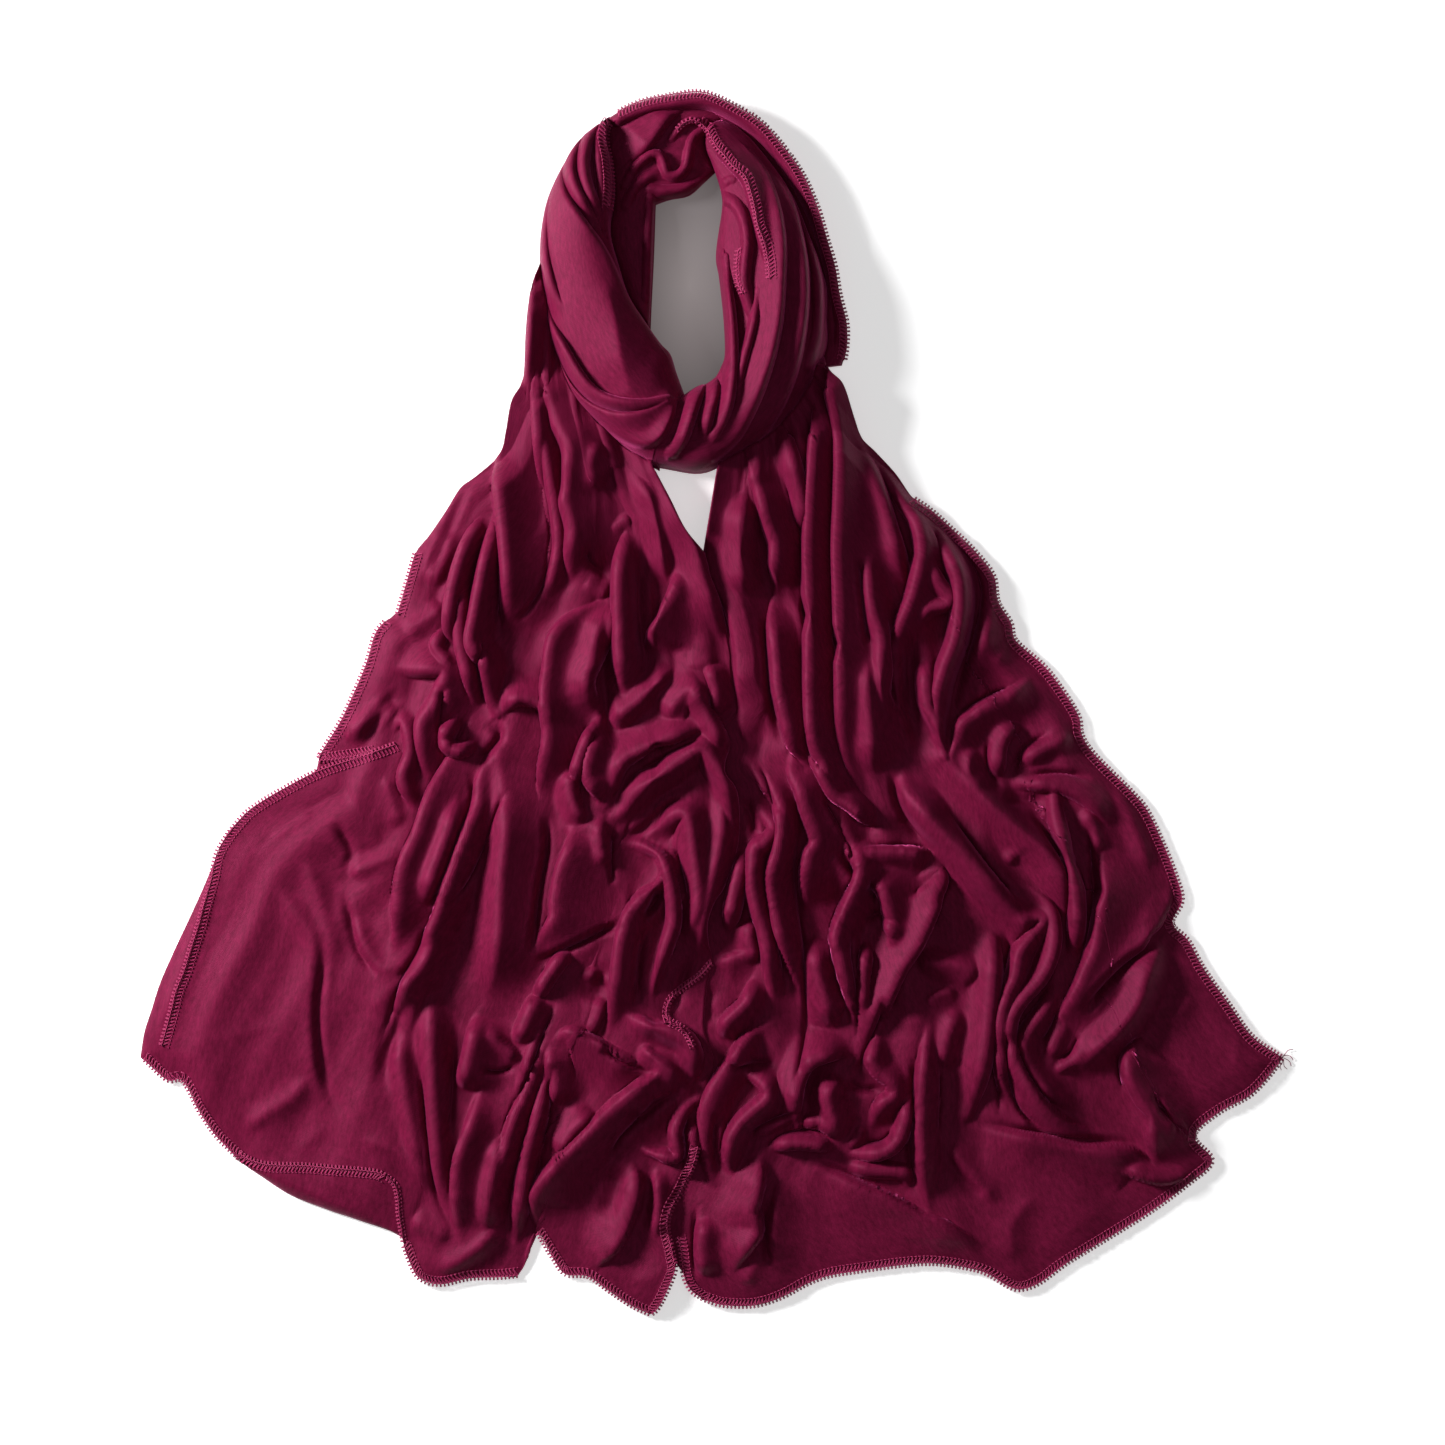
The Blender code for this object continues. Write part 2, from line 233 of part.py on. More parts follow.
TAIL_RIGHT_FOLDS = (
    # Beside the loop
    Fold(((716, 475), (711, 510), (707, 545), (716, 582), (731, 607), (739, 642), (742, 690), (743, 725),
          (752, 760)), 5, 26, 11, 0.8, 0.3),
    Fold(((745, 490), (740, 540), (742, 580), (745, 610)), 20, 12, 12, 0.6),
    Fold(((755, 480), (768, 525), (776, 545), (774, 575), (776, 600)), 6, 22, 12, 0.8, 0.5),
    Fold(((776, 590), (772, 615), (776, 680), (781, 703), (788, 732), (796, 752), (815, 778)), 3, 24, 12, 0.5, 0.4),
    Fold(((786, 445), (800, 500), (806, 540)), 10, 8, 11, 0.8, 0.4),
    Fold(((814, 440), (809, 510), (807, 570), (807, 640), (807, 700), (812, 738), (820, 762), (840, 790),
          (878, 826)), 3, 27, 13, 0.9, 0.4),
    Fold(((830, 395), (838, 440), (838, 500), (836, 550), (838, 620), (839, 700), (842, 740), (848, 765),
          (858, 785), (870, 800)), 3, 42, 14, 0.9, 0.5),
    Fold(((846, 420), (880, 500), (893, 545), (900, 575), (905, 600)), 14, 8, 10, 0.5, 0.2),
    Fold(((892, 545), (876, 550), (867, 567), (868, 590), (873, 615), (880, 640), (879, 680), (884, 715),
          (894, 735)), 10, 14, 12, 0.3, 0.5),
    Fold(((868, 640), (866, 690), (870, 740), (874, 785)), 16, 22, 12, 0.3, 0.3),
    Fold(((865, 445), (900, 500), (915, 522), (921, 548), (918, 572), (910, 600), (899, 628), (893, 655),
          (893, 690)), 5, 20, 12, 0.5, 0.4),
    Fold(((921, 548), (935, 580), (948, 602), (925, 612), (908, 640)), 14, 5, 10, 0.5, 0.2),
    Fold(((912, 505), (932, 528), (947, 555), (957, 582), (958, 612), (953, 642), (943, 668), (936, 695),
          (936, 720), (943, 756)), 6, 10, 12, 0.4, 0.7),
    Fold(((925, 512), (950, 533), (975, 560), (986, 582), (987, 605), (981, 635), (970, 668), (958, 698)),
         5, 34, 9, 0.5, 0.4),
    Fold(((928, 650), (925, 680), (929, 710), (937, 732), (944, 756)), 8, 8, 10, 0.2, 0.7),
    Fold(((1036, 672), (1010, 695), (985, 706), (965, 719), (956, 737), (950, 755)), 5, 20, 10, 0.3, 0.8),
    Fold(((1022, 724), (1005, 735), (998, 752), (998, 782)), 14, 5, 9, 0.5, 0.3),
    Fold(((1080, 735), (1050, 745), (1030, 757), (1017, 770)), 12, 10, 8, 0.5, 0.3),
    Fold(((943, 757), (960, 775), (985, 800), (1020, 832), (1042, 850), (1060, 880), (1066, 905), (1062, 940)),
         18, 14, 11, 0.8, 0.3),
    Fold(((970, 740), (968, 775), (990, 795)), 14, 14, 9),
    Fold(((1002, 785), (1030, 784), (1057, 787), (1080, 797), (1100, 815), (1113, 838)), 5, 22, 8, 0.4, 0.4),
    Fold(((1053, 788), (1054, 812), (1060, 842), (1070, 872), (1074, 900), (1074, 930), (1070, 952), (1062, 966)),
         6, 8, 12, 0.7, 0.5),
    Fold(((1082, 800), (1092, 830), (1100, 860)), 12, 10, 8),
    Fold(((1100, 835), (1103, 870), (1101, 900), (1095, 930), (1086, 960), (1075, 988), (1060, 1015),
          (1048, 1042)), 4, 40, 11, 0.5, 0.5),
    Fold(((1168, 880), (1165, 905), (1140, 940), (1110, 968), (1085, 995), (1070, 1022)), 30, 6, 8, 0.6, 0.4),
    Fold(((1168, 930), (1155, 950), (1143, 975), (1135, 1000), (1115, 1028), (1090, 1050), (1060, 1080)),
         20, 14, 11, 0.5, 0.4),
    Fold(((893, 770), (905, 790), (930, 820), (957, 848), (980, 875), (1003, 900), (1022, 920)), 14, 14, 13, 0.6, 0.8),
    Fold(((1022, 920), (1042, 919), (1030, 935), (1018, 952), (1014, 975), (1004, 997), (999, 1020),
          (997, 1050), (1003, 1080), (1018, 1122)), 5, 10, 11, 0.8, 0.3),
    Fold(((1004, 880), (1025, 886), (1045, 901), (1052, 920), (1051, 948), (1040, 975), (1018, 1000),
          (1008, 1020), (1009, 1045), (1024, 1080), (1045, 1108), (1075, 1128), (1120, 1135)), 10, 6, 11, 0.5, 0.4),
    Fold(((1000, 868), (1018, 848), (1036, 842)), 8, 10, 9),
    Fold(((1052, 962), (1053, 985), (1045, 1005), (1022, 1042), (1035, 1075), (1060, 1100), (1090, 1110)),
         7, 12, 9, 0.4, 0.3),
    Fold(((1068, 1015), (1057, 1035), (1046, 1060)), 8, 12, 9, 0.4, 0.4),
    Fold(((1085, 1035), (1078, 1055), (1060, 1066), (1045, 1070)), 5, 7, 8),
    # The middle of the right tail
    Fold(((745, 755), (762, 782), (775, 803), (781, 823), (778, 848), (772, 870), (771, 893), (777, 925),
          (787, 952), (797, 982), (802, 1012)), 3, 14, 12, 0.4, 0.4),
    Fold(((750, 790), (765, 815), (774, 828), (765, 842), (754, 850), (753, 880), (757, 905), (766, 940),
          (772, 985), (773, 1020)), 6, 10, 11, 0.4, 0.4),
    Fold(((745, 842), (741, 862), (735, 885), (731, 905), (728, 935)), 5, 9, 10, 0.4, 0.4),
    Fold(((750, 915), (750, 940), (757, 965)), 10, 10, 11, 0.5),
    Fold(((714, 964), (740, 955), (757, 948)), 18, 4, 9, 0.6, 0.5),
    Fold(((756, 975), (748, 1000), (728, 1020), (719, 1040)), 5, 14, 10, 0.5, 0.4),
    Fold(((793, 745), (792, 772), (800, 790), (806, 812), (815, 840), (808, 855), (806, 880), (808, 920)),
         3, 28, 12, 0.6, 0.3),
    Fold(((803, 745), (818, 768), (832, 793), (850, 805), (868, 820), (884, 828)), 4, 10, 12, 0.5, 0.4),
    Fold(((825, 845), (836, 862), (850, 880), (858, 870)), 14, 6, 9, 0.4, 0.3),
    Fold(((818, 930), (816, 960), (822, 990), (832, 1015), (850, 1020)), 12, 20, 10, 0.3, 0.4),
    Fold(((841, 803), (843, 830), (847, 850), (860, 868), (851, 895), (842, 915), (836, 933), (838, 955),
          (845, 982), (853, 1010), (857, 1045)), 3, 14, 13, 0.5, 0.5),
    Fold(((843, 850), (880, 852), (915, 851), (940, 857)), 14, 4, 9, 0.5, 0.5),
    Fold(((860, 870), (878, 885), (887, 905), (889, 925), (893, 938), (878, 950)), 3, 24, 11, 0.5, 0.4),
    Fold(((922, 875), (938, 869), (943, 878), (930, 913), (915, 945), (900, 968), (886, 1000), (872, 1040),
          (856, 1068)), 24, 4, 12, 0.5, 0.5),
    Fold(((847, 908), (865, 903), (880, 900)), 10, 5, 9),
    Fold(((868, 935), (864, 960), (862, 990), (866, 1020)), 5, 7, 10, 0.4, 0.4),
    Fold(((905, 966), (940, 962), (972, 972), (984, 990)), 14, 12, 8),
    Fold(((918, 1006), (938, 993), (960, 986)), 18, 4, 8, 0.4, 0.5),
    Fold(((882, 1015), (872, 1035), (870, 1055), (877, 1070), (890, 1080), (893, 1093), (880, 1103),
          (872, 1122), (871, 1136)), 5, 14, 10, 0.5, 0.3),
    Fold(((900, 1020), (915, 1022), (930, 1010)), 10, 16, 8, 0.3, 0.4),
    Fold(((905, 1078), (906, 1105), (901, 1130), (890, 1146), (868, 1153), (845, 1152)), 8, 6, 10, 0.3, 0.5),
    Fold(((930, 1010), (924, 1050), (921, 1090), (920, 1130), (923, 1170), (928, 1212)), 5, 12, 11, 0.5, 0.6),
    Fold(((990, 915), (991, 960), (988, 1005), (984, 1040), (978, 1075), (966, 1112)), 14, 9, 11, 0.3, 0.6),
    Fold(((960, 1000), (945, 1040), (940, 1075)), 14, 18, 7),
    # Down to the hem
    Fold(((775, 1020), (750, 1034), (735, 1055), (720, 1076), (708, 1097), (702, 1122), (703, 1148),
          (712, 1183)), 3, 14, 12, 0.5, 0.5),
    Fold(((730, 1082), (747, 1074), (763, 1081), (768, 1095), (752, 1110), (740, 1122), (731, 1140),
          (732, 1165), (748, 1180)), 6, 10, 11, 0.4, 0.4),
    Fold(((748, 1136), (770, 1126), (796, 1113)), 5, 4, 9, 0.5, 0.6),
    Fold(((757, 1140), (760, 1165), (756, 1192), (752, 1208), (758, 1226), (745, 1248), (726, 1280)),
         22, 5, 10, 0.4, 0.4),
    Fold(((708, 1210), (703, 1245), (706, 1280)), 8, 20, 8, 0.4, 0.4),
    Fold(((855, 1052), (825, 1054), (806, 1064), (797, 1085), (795, 1105), (798, 1124)), 16, 4, 12, 0.5, 0.6),
    Fold(((848, 1078), (828, 1090), (832, 1115), (842, 1140)), 12, 16, 10, 0.4, 0.5),
    Fold(((798, 1124), (820, 1120), (838, 1140)), 6, 8, 10, 0.5, 0.5),
    Fold(((765, 1148), (790, 1142), (815, 1143), (838, 1149)), 5, 8, 9, 0.4, 0.5),
    Fold(((862, 1120), (858, 1135), (845, 1150)), 8, 5, 9, 0.4, 0.5),
    Fold(((786, 1060), (782, 1090), (776, 1110)), 8, 8, 9, 0.5, 0.3),
    Fold(((806, 1155), (840, 1174), (870, 1189), (900, 1203), (940, 1221), (972, 1241), (995, 1258)),
         30, 4, 8, 0.5, 0.3),
    Fold(((840, 1160), (870, 1168), (905, 1172), (905, 1195)), 8, 8, 7, 0.3, 0.3),
    Fold(((780, 1165), (776, 1205), (772, 1245), (779, 1278)), 4, 26, 6, 0.4, 0.5),
    Fold(((764, 1230), (755, 1262), (740, 1290)), 12, 12, 6, 0.4, 0.4),
    Fold(((975, 1127), (1020, 1135), (1060, 1140), (1100, 1148), (1135, 1153), (1158, 1176)), 24, 4, 8, 0.5, 0.4),
    Fold(((945, 1130), (960, 1160), (985, 1190), (1000, 1215)), 16, 14, 5),
    Fold(((1143, 1026), (1130, 1040), (1125, 1062), (1130, 1082), (1143, 1106), (1150, 1130), (1156, 1172)),
         4, 30, 11, 0.5, 0.5),
    Fold(((1145, 1085), (1165, 1110), (1182, 1130), (1200, 1150)), 22, 4, 9, 0.4, 0.6),
    Fold(((1110, 1162), (1135, 1171), (1160, 1178), (1185, 1174), (1203, 1164)), 5, 12, 7, 0.4, 0.4),
    Fold(((1196, 990), (1180, 1010), (1160, 1030)), 14, 16, 5),
    Fold(((1228, 1015), (1236, 1045), (1232, 1075)), 8, 10, 4),
    Fold(((1045, 1180), (1010, 1225), (1015, 1275)), 20, 20, 4, 0.3, 0.4),
    Fold(((1095, 770), (1120, 800), (1142, 850), (1150, 890)), 14, 16, 5),
    Fold(((1000, 600), (1003, 640), (990, 680)), 12, 14, 5),
)

TAIL_RIGHT_CREASES = (
    Crease(((753, 485), (761, 516), (769, 546), (771, 572), (774, 602)), 4, 0.6),
    Crease(((783, 468), (794, 512), (801, 548), (804, 600), (804, 700), (808, 742), (822, 768)), 5, 0.7),
    Crease(((832, 470), (831, 540), (833, 600), (836, 700), (838, 742)), 4, 0.6),
    Crease(((764, 620), (768, 660), (772, 702), (786, 748)), 9, 0.6),
    Crease(((881, 480), (895, 525), (909, 565), (906, 598)), 6, 0.6),
    Crease(((858, 560), (862, 600), (867, 645)), 8, 0.5),
    Crease(((886, 620), (889, 660), (893, 700), (900, 713)), 4, 0.6),
    Crease(((907, 632), (910, 680), (913, 722), (928, 752)), 13, 0.8),
    Crease(((932, 533), (942, 565), (951, 597)), 4, 0.8),
    Crease(((973, 560), (977, 600), (971, 640), (956, 682), (949, 720), (949, 745)), 12, 0.7),
    Crease(((1010, 688), (978, 703), (955, 722)), 7, 0.6),
    Crease(((988, 738), (988, 766), (998, 790)), 6, 0.6),
    Crease(((1050, 735), (1025, 748), (1010, 775)), 7, 0.6),
    Crease(((1020, 777), (1060, 773), (1090, 780)), 7, 0.5),
    Crease(((1002, 794), (1030, 802), (1046, 795)), 9, 0.6),
    Crease(((1028, 810), (1049, 838), (1063, 870), (1068, 902), (1068, 935)), 5, 0.7),
    Crease(((1086, 822), (1091, 860), (1093, 900), (1088, 940), (1079, 968)), 6, 0.8),
    Crease(((1152, 943), (1122, 964), (1096, 990), (1081, 1012)), 10, 0.6),
    Crease(((943, 808), (965, 838), (986, 866), (1006, 890), (1022, 906)), 7, 0.6),
    Crease(((893, 762), (898, 800), (918, 832), (938, 852)), 10, 0.7),
    Crease(((1001, 928), (1010, 950), (1003, 980), (998, 1002)), 6, 0.7),
    Crease(((994, 1020), (995, 1065), (1000, 1115)), 4, 0.6),
    Crease(((1004, 1030), (1007, 1075), (1022, 1112), (1050, 1132)), 5, 0.7),
    Crease(((1056, 1010), (1046, 1032), (1036, 1042)), 6, 0.6),
    Crease(((1078, 1035), (1068, 1052), (1050, 1056)), 5, 0.5),
    Crease(((980, 1121), (1030, 1131), (1080, 1140), (1142, 1144)), 7, 0.7),
    Crease(((1147, 1028), (1124, 1048), (1120, 1068), (1126, 1090)), 6, 0.7),
    Crease(((1148, 1092), (1170, 1120), (1186, 1134)), 4, 0.6),
    Crease(((743, 798), (752, 818), (756, 840)), 8, 0.7),
    Crease(((760, 768), (773, 797), (780, 815)), 4, 0.6),
    Crease(((748, 870), (744, 898), (738, 925)), 5, 0.7),
    Crease(((767, 872), (769, 902), (775, 940), (786, 988)), 5, 0.6),
    Crease(((797, 828), (795, 870), (798, 912), (804, 960), (807, 1002), (804, 1045), (795, 1092)), 7, 0.8),
    Crease(((822, 800), (840, 830), (857, 863)), 4, 0.6),
    Crease(((843, 806), (858, 818), (880, 830)), 5, 0.5),
    Crease(((862, 882), (880, 896)), 8, 0.7),
    Crease(((862, 922), (880, 912), (888, 925)), 7, 0.7),
    Crease(((848, 930), (849, 962), (856, 1002), (858, 1040)), 4, 0.6),
    Crease(((872, 845), (905, 847), (935, 850)), 5, 0.7),
    Crease(((898, 812), (920, 838)), 10, 0.5),
    Crease(((944, 862), (947, 882), (935, 905)), 6, 0.7),
    Crease(((886, 995), (873, 1030), (862, 1062), (850, 1072)), 6, 0.7),
    Crease(((845, 1082), (862, 1088), (882, 1088)), 7, 0.7),
    Crease(((860, 1140), (880, 1143), (896, 1130)), 6, 0.6),
    Crease(((812, 1158), (845, 1174), (885, 1192)), 6, 0.6),
    Crease(((913, 1055), (913, 1110), (909, 1145), (915, 1195)), 6, 0.6),
    Crease(((938, 1055), (938, 1100), (936, 1145)), 5, 0.5),
    Crease(((728, 1066), (752, 1062), (776, 1062)), 7, 0.6),
    Crease(((716, 1110), (713, 1145), (721, 1176)), 6, 0.6),
    Crease(((748, 1129), (770, 1119), (796, 1109)), 4, 0.6),
    Crease(((763, 1147), (776, 1138), (798, 1129), (820, 1129), (834, 1140)), 4, 0.7),
    Crease(((765, 1195), (763, 1225), (769, 1265)), 8, 0.5),
    Crease(((697, 1200), (694, 1240), (696, 1280)), 5, 0.6),
    Crease(((715, 985), (708, 1005), (715, 1025)), 9, 0.7),
    Crease(((940, 1150), (965, 1180), (990, 1205)), 10, 0.4),
)

LOOP_LEFT_FOLDS = (
    # Pleats that fan out from the top
    Fold(((603, 133), (600, 146), (601, 165), (604, 195), (606, 222), (610, 240)), 5, 6, 5, 0.7, 0.3),
    Fold(((598, 131), (591, 143), (587, 158), (586, 175), (590, 194), (598, 213), (605, 230)), 8, 4, 6, 0.6, 0.4),
    Fold(((590, 134), (579, 150), (574, 166), (574, 182), (580, 200), (590, 218), (598, 232)), 9, 4, 6.5, 0.5, 0.4),
    Fold(((566, 166), (562, 182), (566, 202), (578, 222), (594, 244), (609, 266), (622, 290), (636, 312),
          (650, 334)), 22, 4, 7, 0.4, 0.5),
    Fold(((563, 168), (553, 188), (547, 210), (545, 240), (547, 268), (554, 296), (566, 326)), 5, 6, 5, 0.6, 0.0),
    # The flap over the hollow at the bottom of the neck hole
    Fold(((600, 268), (609, 296), (617, 328), (623, 362), (632, 396)), 4, 26, 7, 0.0, 0.6),
    # Pleats that swing round to the bottom
    Fold(((543, 300), (552, 328), (566, 354), (580, 378), (596, 397), (618, 407), (645, 409), (670, 404)),
         9, 4, 7, 0.5, 0.5),
    Fold(((554, 346), (561, 369), (573, 391), (590, 408), (612, 419), (635, 421), (655, 415), (668, 408)),
         13, 3, 6, 0.5, 0.5),
    Fold(((590, 414), (610, 431), (630, 443), (650, 447), (662, 440), (670, 425), (675, 410)), 5, 12, 6, 0.4, 0.7),
)
LOOP_RIGHT_FOLDS = (
    # The free edge of its upper layer
    Fold(((700, 128), (712, 142), (722, 160), (734, 174), (746, 190), (753, 215), (760, 245), (767, 275),
          (768, 300)), 3, 20, 7, 0.7, 0.2),
    Fold(((722, 186), (731, 205), (735, 232), (732, 260)), 6, 7, 5),
    Fold(((742, 215), (748, 250), (752, 285)), 4, 6, 5),
    Fold(((738, 256), (736, 273), (738, 292), (744, 312)), 3, 9, 6, 0.6, 0.3),
    # Long pleats from the crown round to the bottom
    Fold(((742, 150), (764, 180), (779, 215), (787, 260), (783, 310), (768, 360), (748, 405), (722, 445),
          (702, 464)), 4, 10, 8, 0.4, 0.5),
    Fold(((757, 148), (783, 185), (798, 225), (805, 270), (800, 320), (786, 370), (762, 415), (737, 448)),
         4, 10, 8, 0.4, 0.5),
    Fold(((778, 160), (802, 200), (815, 238), (821, 280), (818, 325), (805, 370), (783, 412)), 4, 8, 7, 0.4, 0.4),
    Fold(((769, 262), (774, 300), (766, 345), (748, 390), (726, 430), (702, 460)), 4, 9, 8, 0.4, 0.5),
    Fold(((749, 300), (750, 340), (738, 385), (720, 425), (696, 460)), 4, 9, 8, 0.4, 0.5),
    Fold(((727, 300), (734, 350), (729, 395), (712, 435), (688, 464)), 5, 9, 7, 0.3, 0.5),
    Fold(((715, 386), (709, 413), (695, 438), (674, 460)), 4, 9, 7, 0.6, 0.5),
    Fold(((702, 391), (693, 414), (678, 434), (662, 450)), 4, 8, 7, 0.6, 0.5),
)
LOOP_BACK_FOLDS = (
    # The roll at the crown and the layer below it
    Fold(((619, 123), (640, 114), (660, 109), (690, 105), (712, 107), (738, 119), (760, 135), (782, 160),
          (802, 192), (818, 226), (828, 258), (836, 295), (842, 330)), 7, 8, 13, 0.7, 0.2),
    Fold(((626, 142), (645, 130), (670, 124), (694, 127)), 5, 9, 9, 0.4, 0.4),
    # What hangs into the neck hole
    Fold(((700, 132), (692, 140), (689, 152), (688, 166), (680, 177)), 5, 7, 5.5, 0.5, 0.4),
    Fold(((624, 172), (640, 160), (655, 157), (663, 168), (670, 179)), 5, 6, 4, 0.3, 0.4),
    Fold(((630, 206), (642, 188), (655, 182), (675, 188), (698, 190)), 6, 6, 4.5, 0.4, 0.5),
    Fold(((652, 200), (650, 235), (649, 270), (648, 300)), 6, 3, 3, 0.5, 0.4),
    Fold(((836, 285), (840, 315), (838, 350)), 4, 6, 3),
)

# A stretch is the patch between four sides, each one or more edge curves end to end. `right`
# and `left` are its long sides, from its first end to its last; `first` and `last` cross it
# from the right side to the left. `cells` are counted across and along. `crown` holds the
# crown's height in metres at the first end, the middle and the last end, and `rims` the
# shares of it that are left at the right and the left side.
Band = namedtuple("Band", "name first last right left cells crown rims folds")
BANDS = (
    Band("loop_back", ((STRIP_OUTER[0], HOLE_LEFT[0]),), ((CROWN[-1], RIGHT_UNDER_WEDGE[0]),),
         (STRIP_OUTER, CROWN), (HOLE_LEFT, HOLE_TOP, RIGHT_TOP[::-1], RIGHT_UNDER_WEDGE[::-1]),
         (10, 44), (0.011, 0.5 * BACK_BAND_HEIGHT, 0.005), (0.5, 0.55), LOOP_BACK_FOLDS),
    Band("loop_left", ((LEFT_RIM[0], LEFT_INNER[0]),), (BOTTOM_FOLD,),
         (LEFT_RIM, LEFT_SEAM), (LEFT_INNER,),
         (14, 34), (0.015, FRONT_BAND_HEIGHT, FRONT_BAND_HEIGHT), (0.35, 0.45), LOOP_LEFT_FOLDS),
    Band("loop_right", (RIGHT_TOP[::-1],), (BOTTOM_FOLD[::-1],),
         (HOLE_RIGHT,), (RIGHT_UNDER_WEDGE[::-1], RIGHT_SEAM[::-1]),
         (14, 38), (0.017, FRONT_BAND_HEIGHT, FRONT_BAND_HEIGHT), (0.4, 0.35), LOOP_RIGHT_FOLDS),
)
# A tail is a wall on such a patch. `free` are its free edges, which lie on the surface, and
# `under` is the edge where the other tail lies over it.
Tail = namedtuple("Tail", "name first last right left cells free under folds creases")
TAILS = (
    Tail("tail_left", (LEFT_SEAM,), (TAIL_LEFT_HEM,), (TAIL_LEFT_RIM,), (GAP_LEFT, CENTRE_SEAM, CORNER_LEFT),
         (52, sum(CENTRE_CELLS)), (TAIL_LEFT_RIM, TAIL_LEFT_HEM), None, TAIL_LEFT_FOLDS,
         TAIL_LEFT_CREASES),
    Tail("tail_right", (TAIL_RIGHT_TOP,), (TAIL_RIGHT_HEM,),
         (GAP_RIGHT, CENTRE_SEAM, CORNER_RIGHT), (TAIL_RIGHT_RIM,),
         (52, sum(CENTRE_CELLS)), (TAIL_RIGHT_RIM, TAIL_RIGHT_HEM), CENTRE_SEAM, TAIL_RIGHT_FOLDS,
         TAIL_RIGHT_CREASES),
)

CURVE_STEPS = 8             # points worked out along each span of an edge curve
CREST_STEPS = 5             # and of a fold's crest
FOLD_BLEND = 3.0            # how sharply neighbouring folds meet: higher is a sharper valley
NARROW_SPREAD = 10.0        # a side narrower than this is round, a wider one runs out softly,
RUN_OUT = 2.4               # this many times further than its spread
SOFT_POWER = 2.0            # of a side that runs out
TAPER = 0.3                 # share of a fold's length over which each end dies away
SHORT_FOLD = 75.0           # a fold shorter than this is lower by as much
TAIL_FOLD_SCALE = 1.5
BAND_FOLD_SCALE = 1.2
DOME_POWER = 0.5            # roundness of a band across: lower is flatter on top
UNDER_SHARE = 0.4           # height of a tail where the other one lies over it
UNDER_REACH = 22.0

# Slow waves of the cloth between the folds: how many cross the tail, how many run along it,
# where they start, how far they wander and their height in millimetres
Wave = namedtuple("Wave", "across along start wander height")
WAVES = (
    Wave(4.3, 0.7, 0.10, 0.55, 2.6),
    Wave(6.7, -1.2, 0.43, 0.70, 1.8),
    Wave(2.1, 2.6, 0.77, 0.40, 2.2),
)
SETTLED = 0.0022            # waves lower than this have sunk flat on to the surface
LYING_HEIGHT = 0.0029       # cloth no higher than this lies on the surface
LIFT_RATE = 2.0             # how fast the lower face leaves the surface above that


def smooth(points, steps=CURVE_STEPS):
    """A Catmull-Rom curve through the points: each span is a cubic whose end slopes are half
    the difference of the points on either side."""
    knots = np.asarray(points, float)
    if len(knots) < 3:
        return knots
    before = np.vstack([2 * knots[0] - knots[1], knots[:-2]])
    after = np.vstack([knots[2:], 2 * knots[-1] - knots[-2]])
    start, end = knots[:-1], knots[1:]
    t = np.linspace(0, 1, steps, endpoint=False)[:, None, None]
    spans = (start + 0.5 * t * (end - before)
             + t ** 2 * (before - 2.5 * start + 2 * end - 0.5 * after)
             + t ** 3 * (-0.5 * before + 1.5 * start - 1.5 * end + 0.5 * after))
    return np.vstack([spans.transpose(1, 0, 2).reshape(-1, 2), knots[-1:]])


def side(curves):
    """The smooth curves of one side, end to end, without their doubled corner points."""
    parts = [smooth(curve) for curve in curves]
    return np.vstack([parts[0]] + [part[1:] for part in parts[1:]])


def spaced(curves, cells):
    """cells + 1 points along the curves of one side, shared out by length so that every corner
    between two curves is one of them."""
    lines = [smooth(curve) for curve in curves]
    lengths = [np.r_[0, np.cumsum(np.hypot(*np.diff(line, axis=0).T))] for line in lines]
    reached = np.cumsum([length[-1] for length in lengths])
    corners = np.r_[0, np.round(reached / reached[-1] * cells)].astype(int)
    if CENTRE_SEAM in curves:
        corners = np.r_[0, np.cumsum(CENTRE_CELLS)] * cells // sum(CENTRE_CELLS)
    points = [lines[0][:1]]
    for line, length, start, end in zip(lines, lengths, corners[:-1], corners[1:]):
        wanted = np.linspace(0, length[-1], end - start + 1)[1:]
        points.append(np.column_stack([np.interp(wanted, length, line[:, i]) for i in (0, 1)]))
    return np.vstack(points)


def inset(edge, inner, distance):
    """The edge moved square to itself towards the row inside it."""
    along = np.gradient(edge, axis=0)
    square = np.column_stack([-along[:, 1], along[:, 0]])
    square /= np.maximum(np.hypot(*square.T), 1e-9)[:, None]
    inwards = np.sign(np.median(np.sum(square * (inner - edge), axis=1)))
    return edge + square * inwards * distance


def patch(stretch):
    """A Coons patch: the sum of the two ruled surfaces between opposite sides, less the one
    between the corners. Returns chart points as rows along the stretch."""
    across, along = stretch.cells
    first = spaced(stretch.first, across)
    last = spaced(stretch.last, across)
    right = spaced(stretch.right, along)
    left = spaced(stretch.left, along)
    u = np.linspace(0, 1, across + 1)[None, :, None]
    v = np.linspace(0, 1, along + 1)[:, None, None]
    corners = ((1 - u) * (1 - v) * first[0] + u * (1 - v) * first[-1]
               + (1 - u) * v * last[0] + u * v * last[-1])
    grid = (1 - v) * first[None] + v * last[None] + (1 - u) * right[:, None] + u * left[:, None] - corners
    half_gap = 0.5 * SEAM_GAP / CHART_STEP
    grid[0] = inset(grid[0], grid[1], half_gap)
    grid[-1] = inset(grid[-1], grid[-2], half_gap)
    grid[:, 0] = inset(grid[:, 0], grid[:, 1], half_gap)
    grid[:, -1] = inset(grid[:, -1], grid[:, -2], half_gap)
    return grid


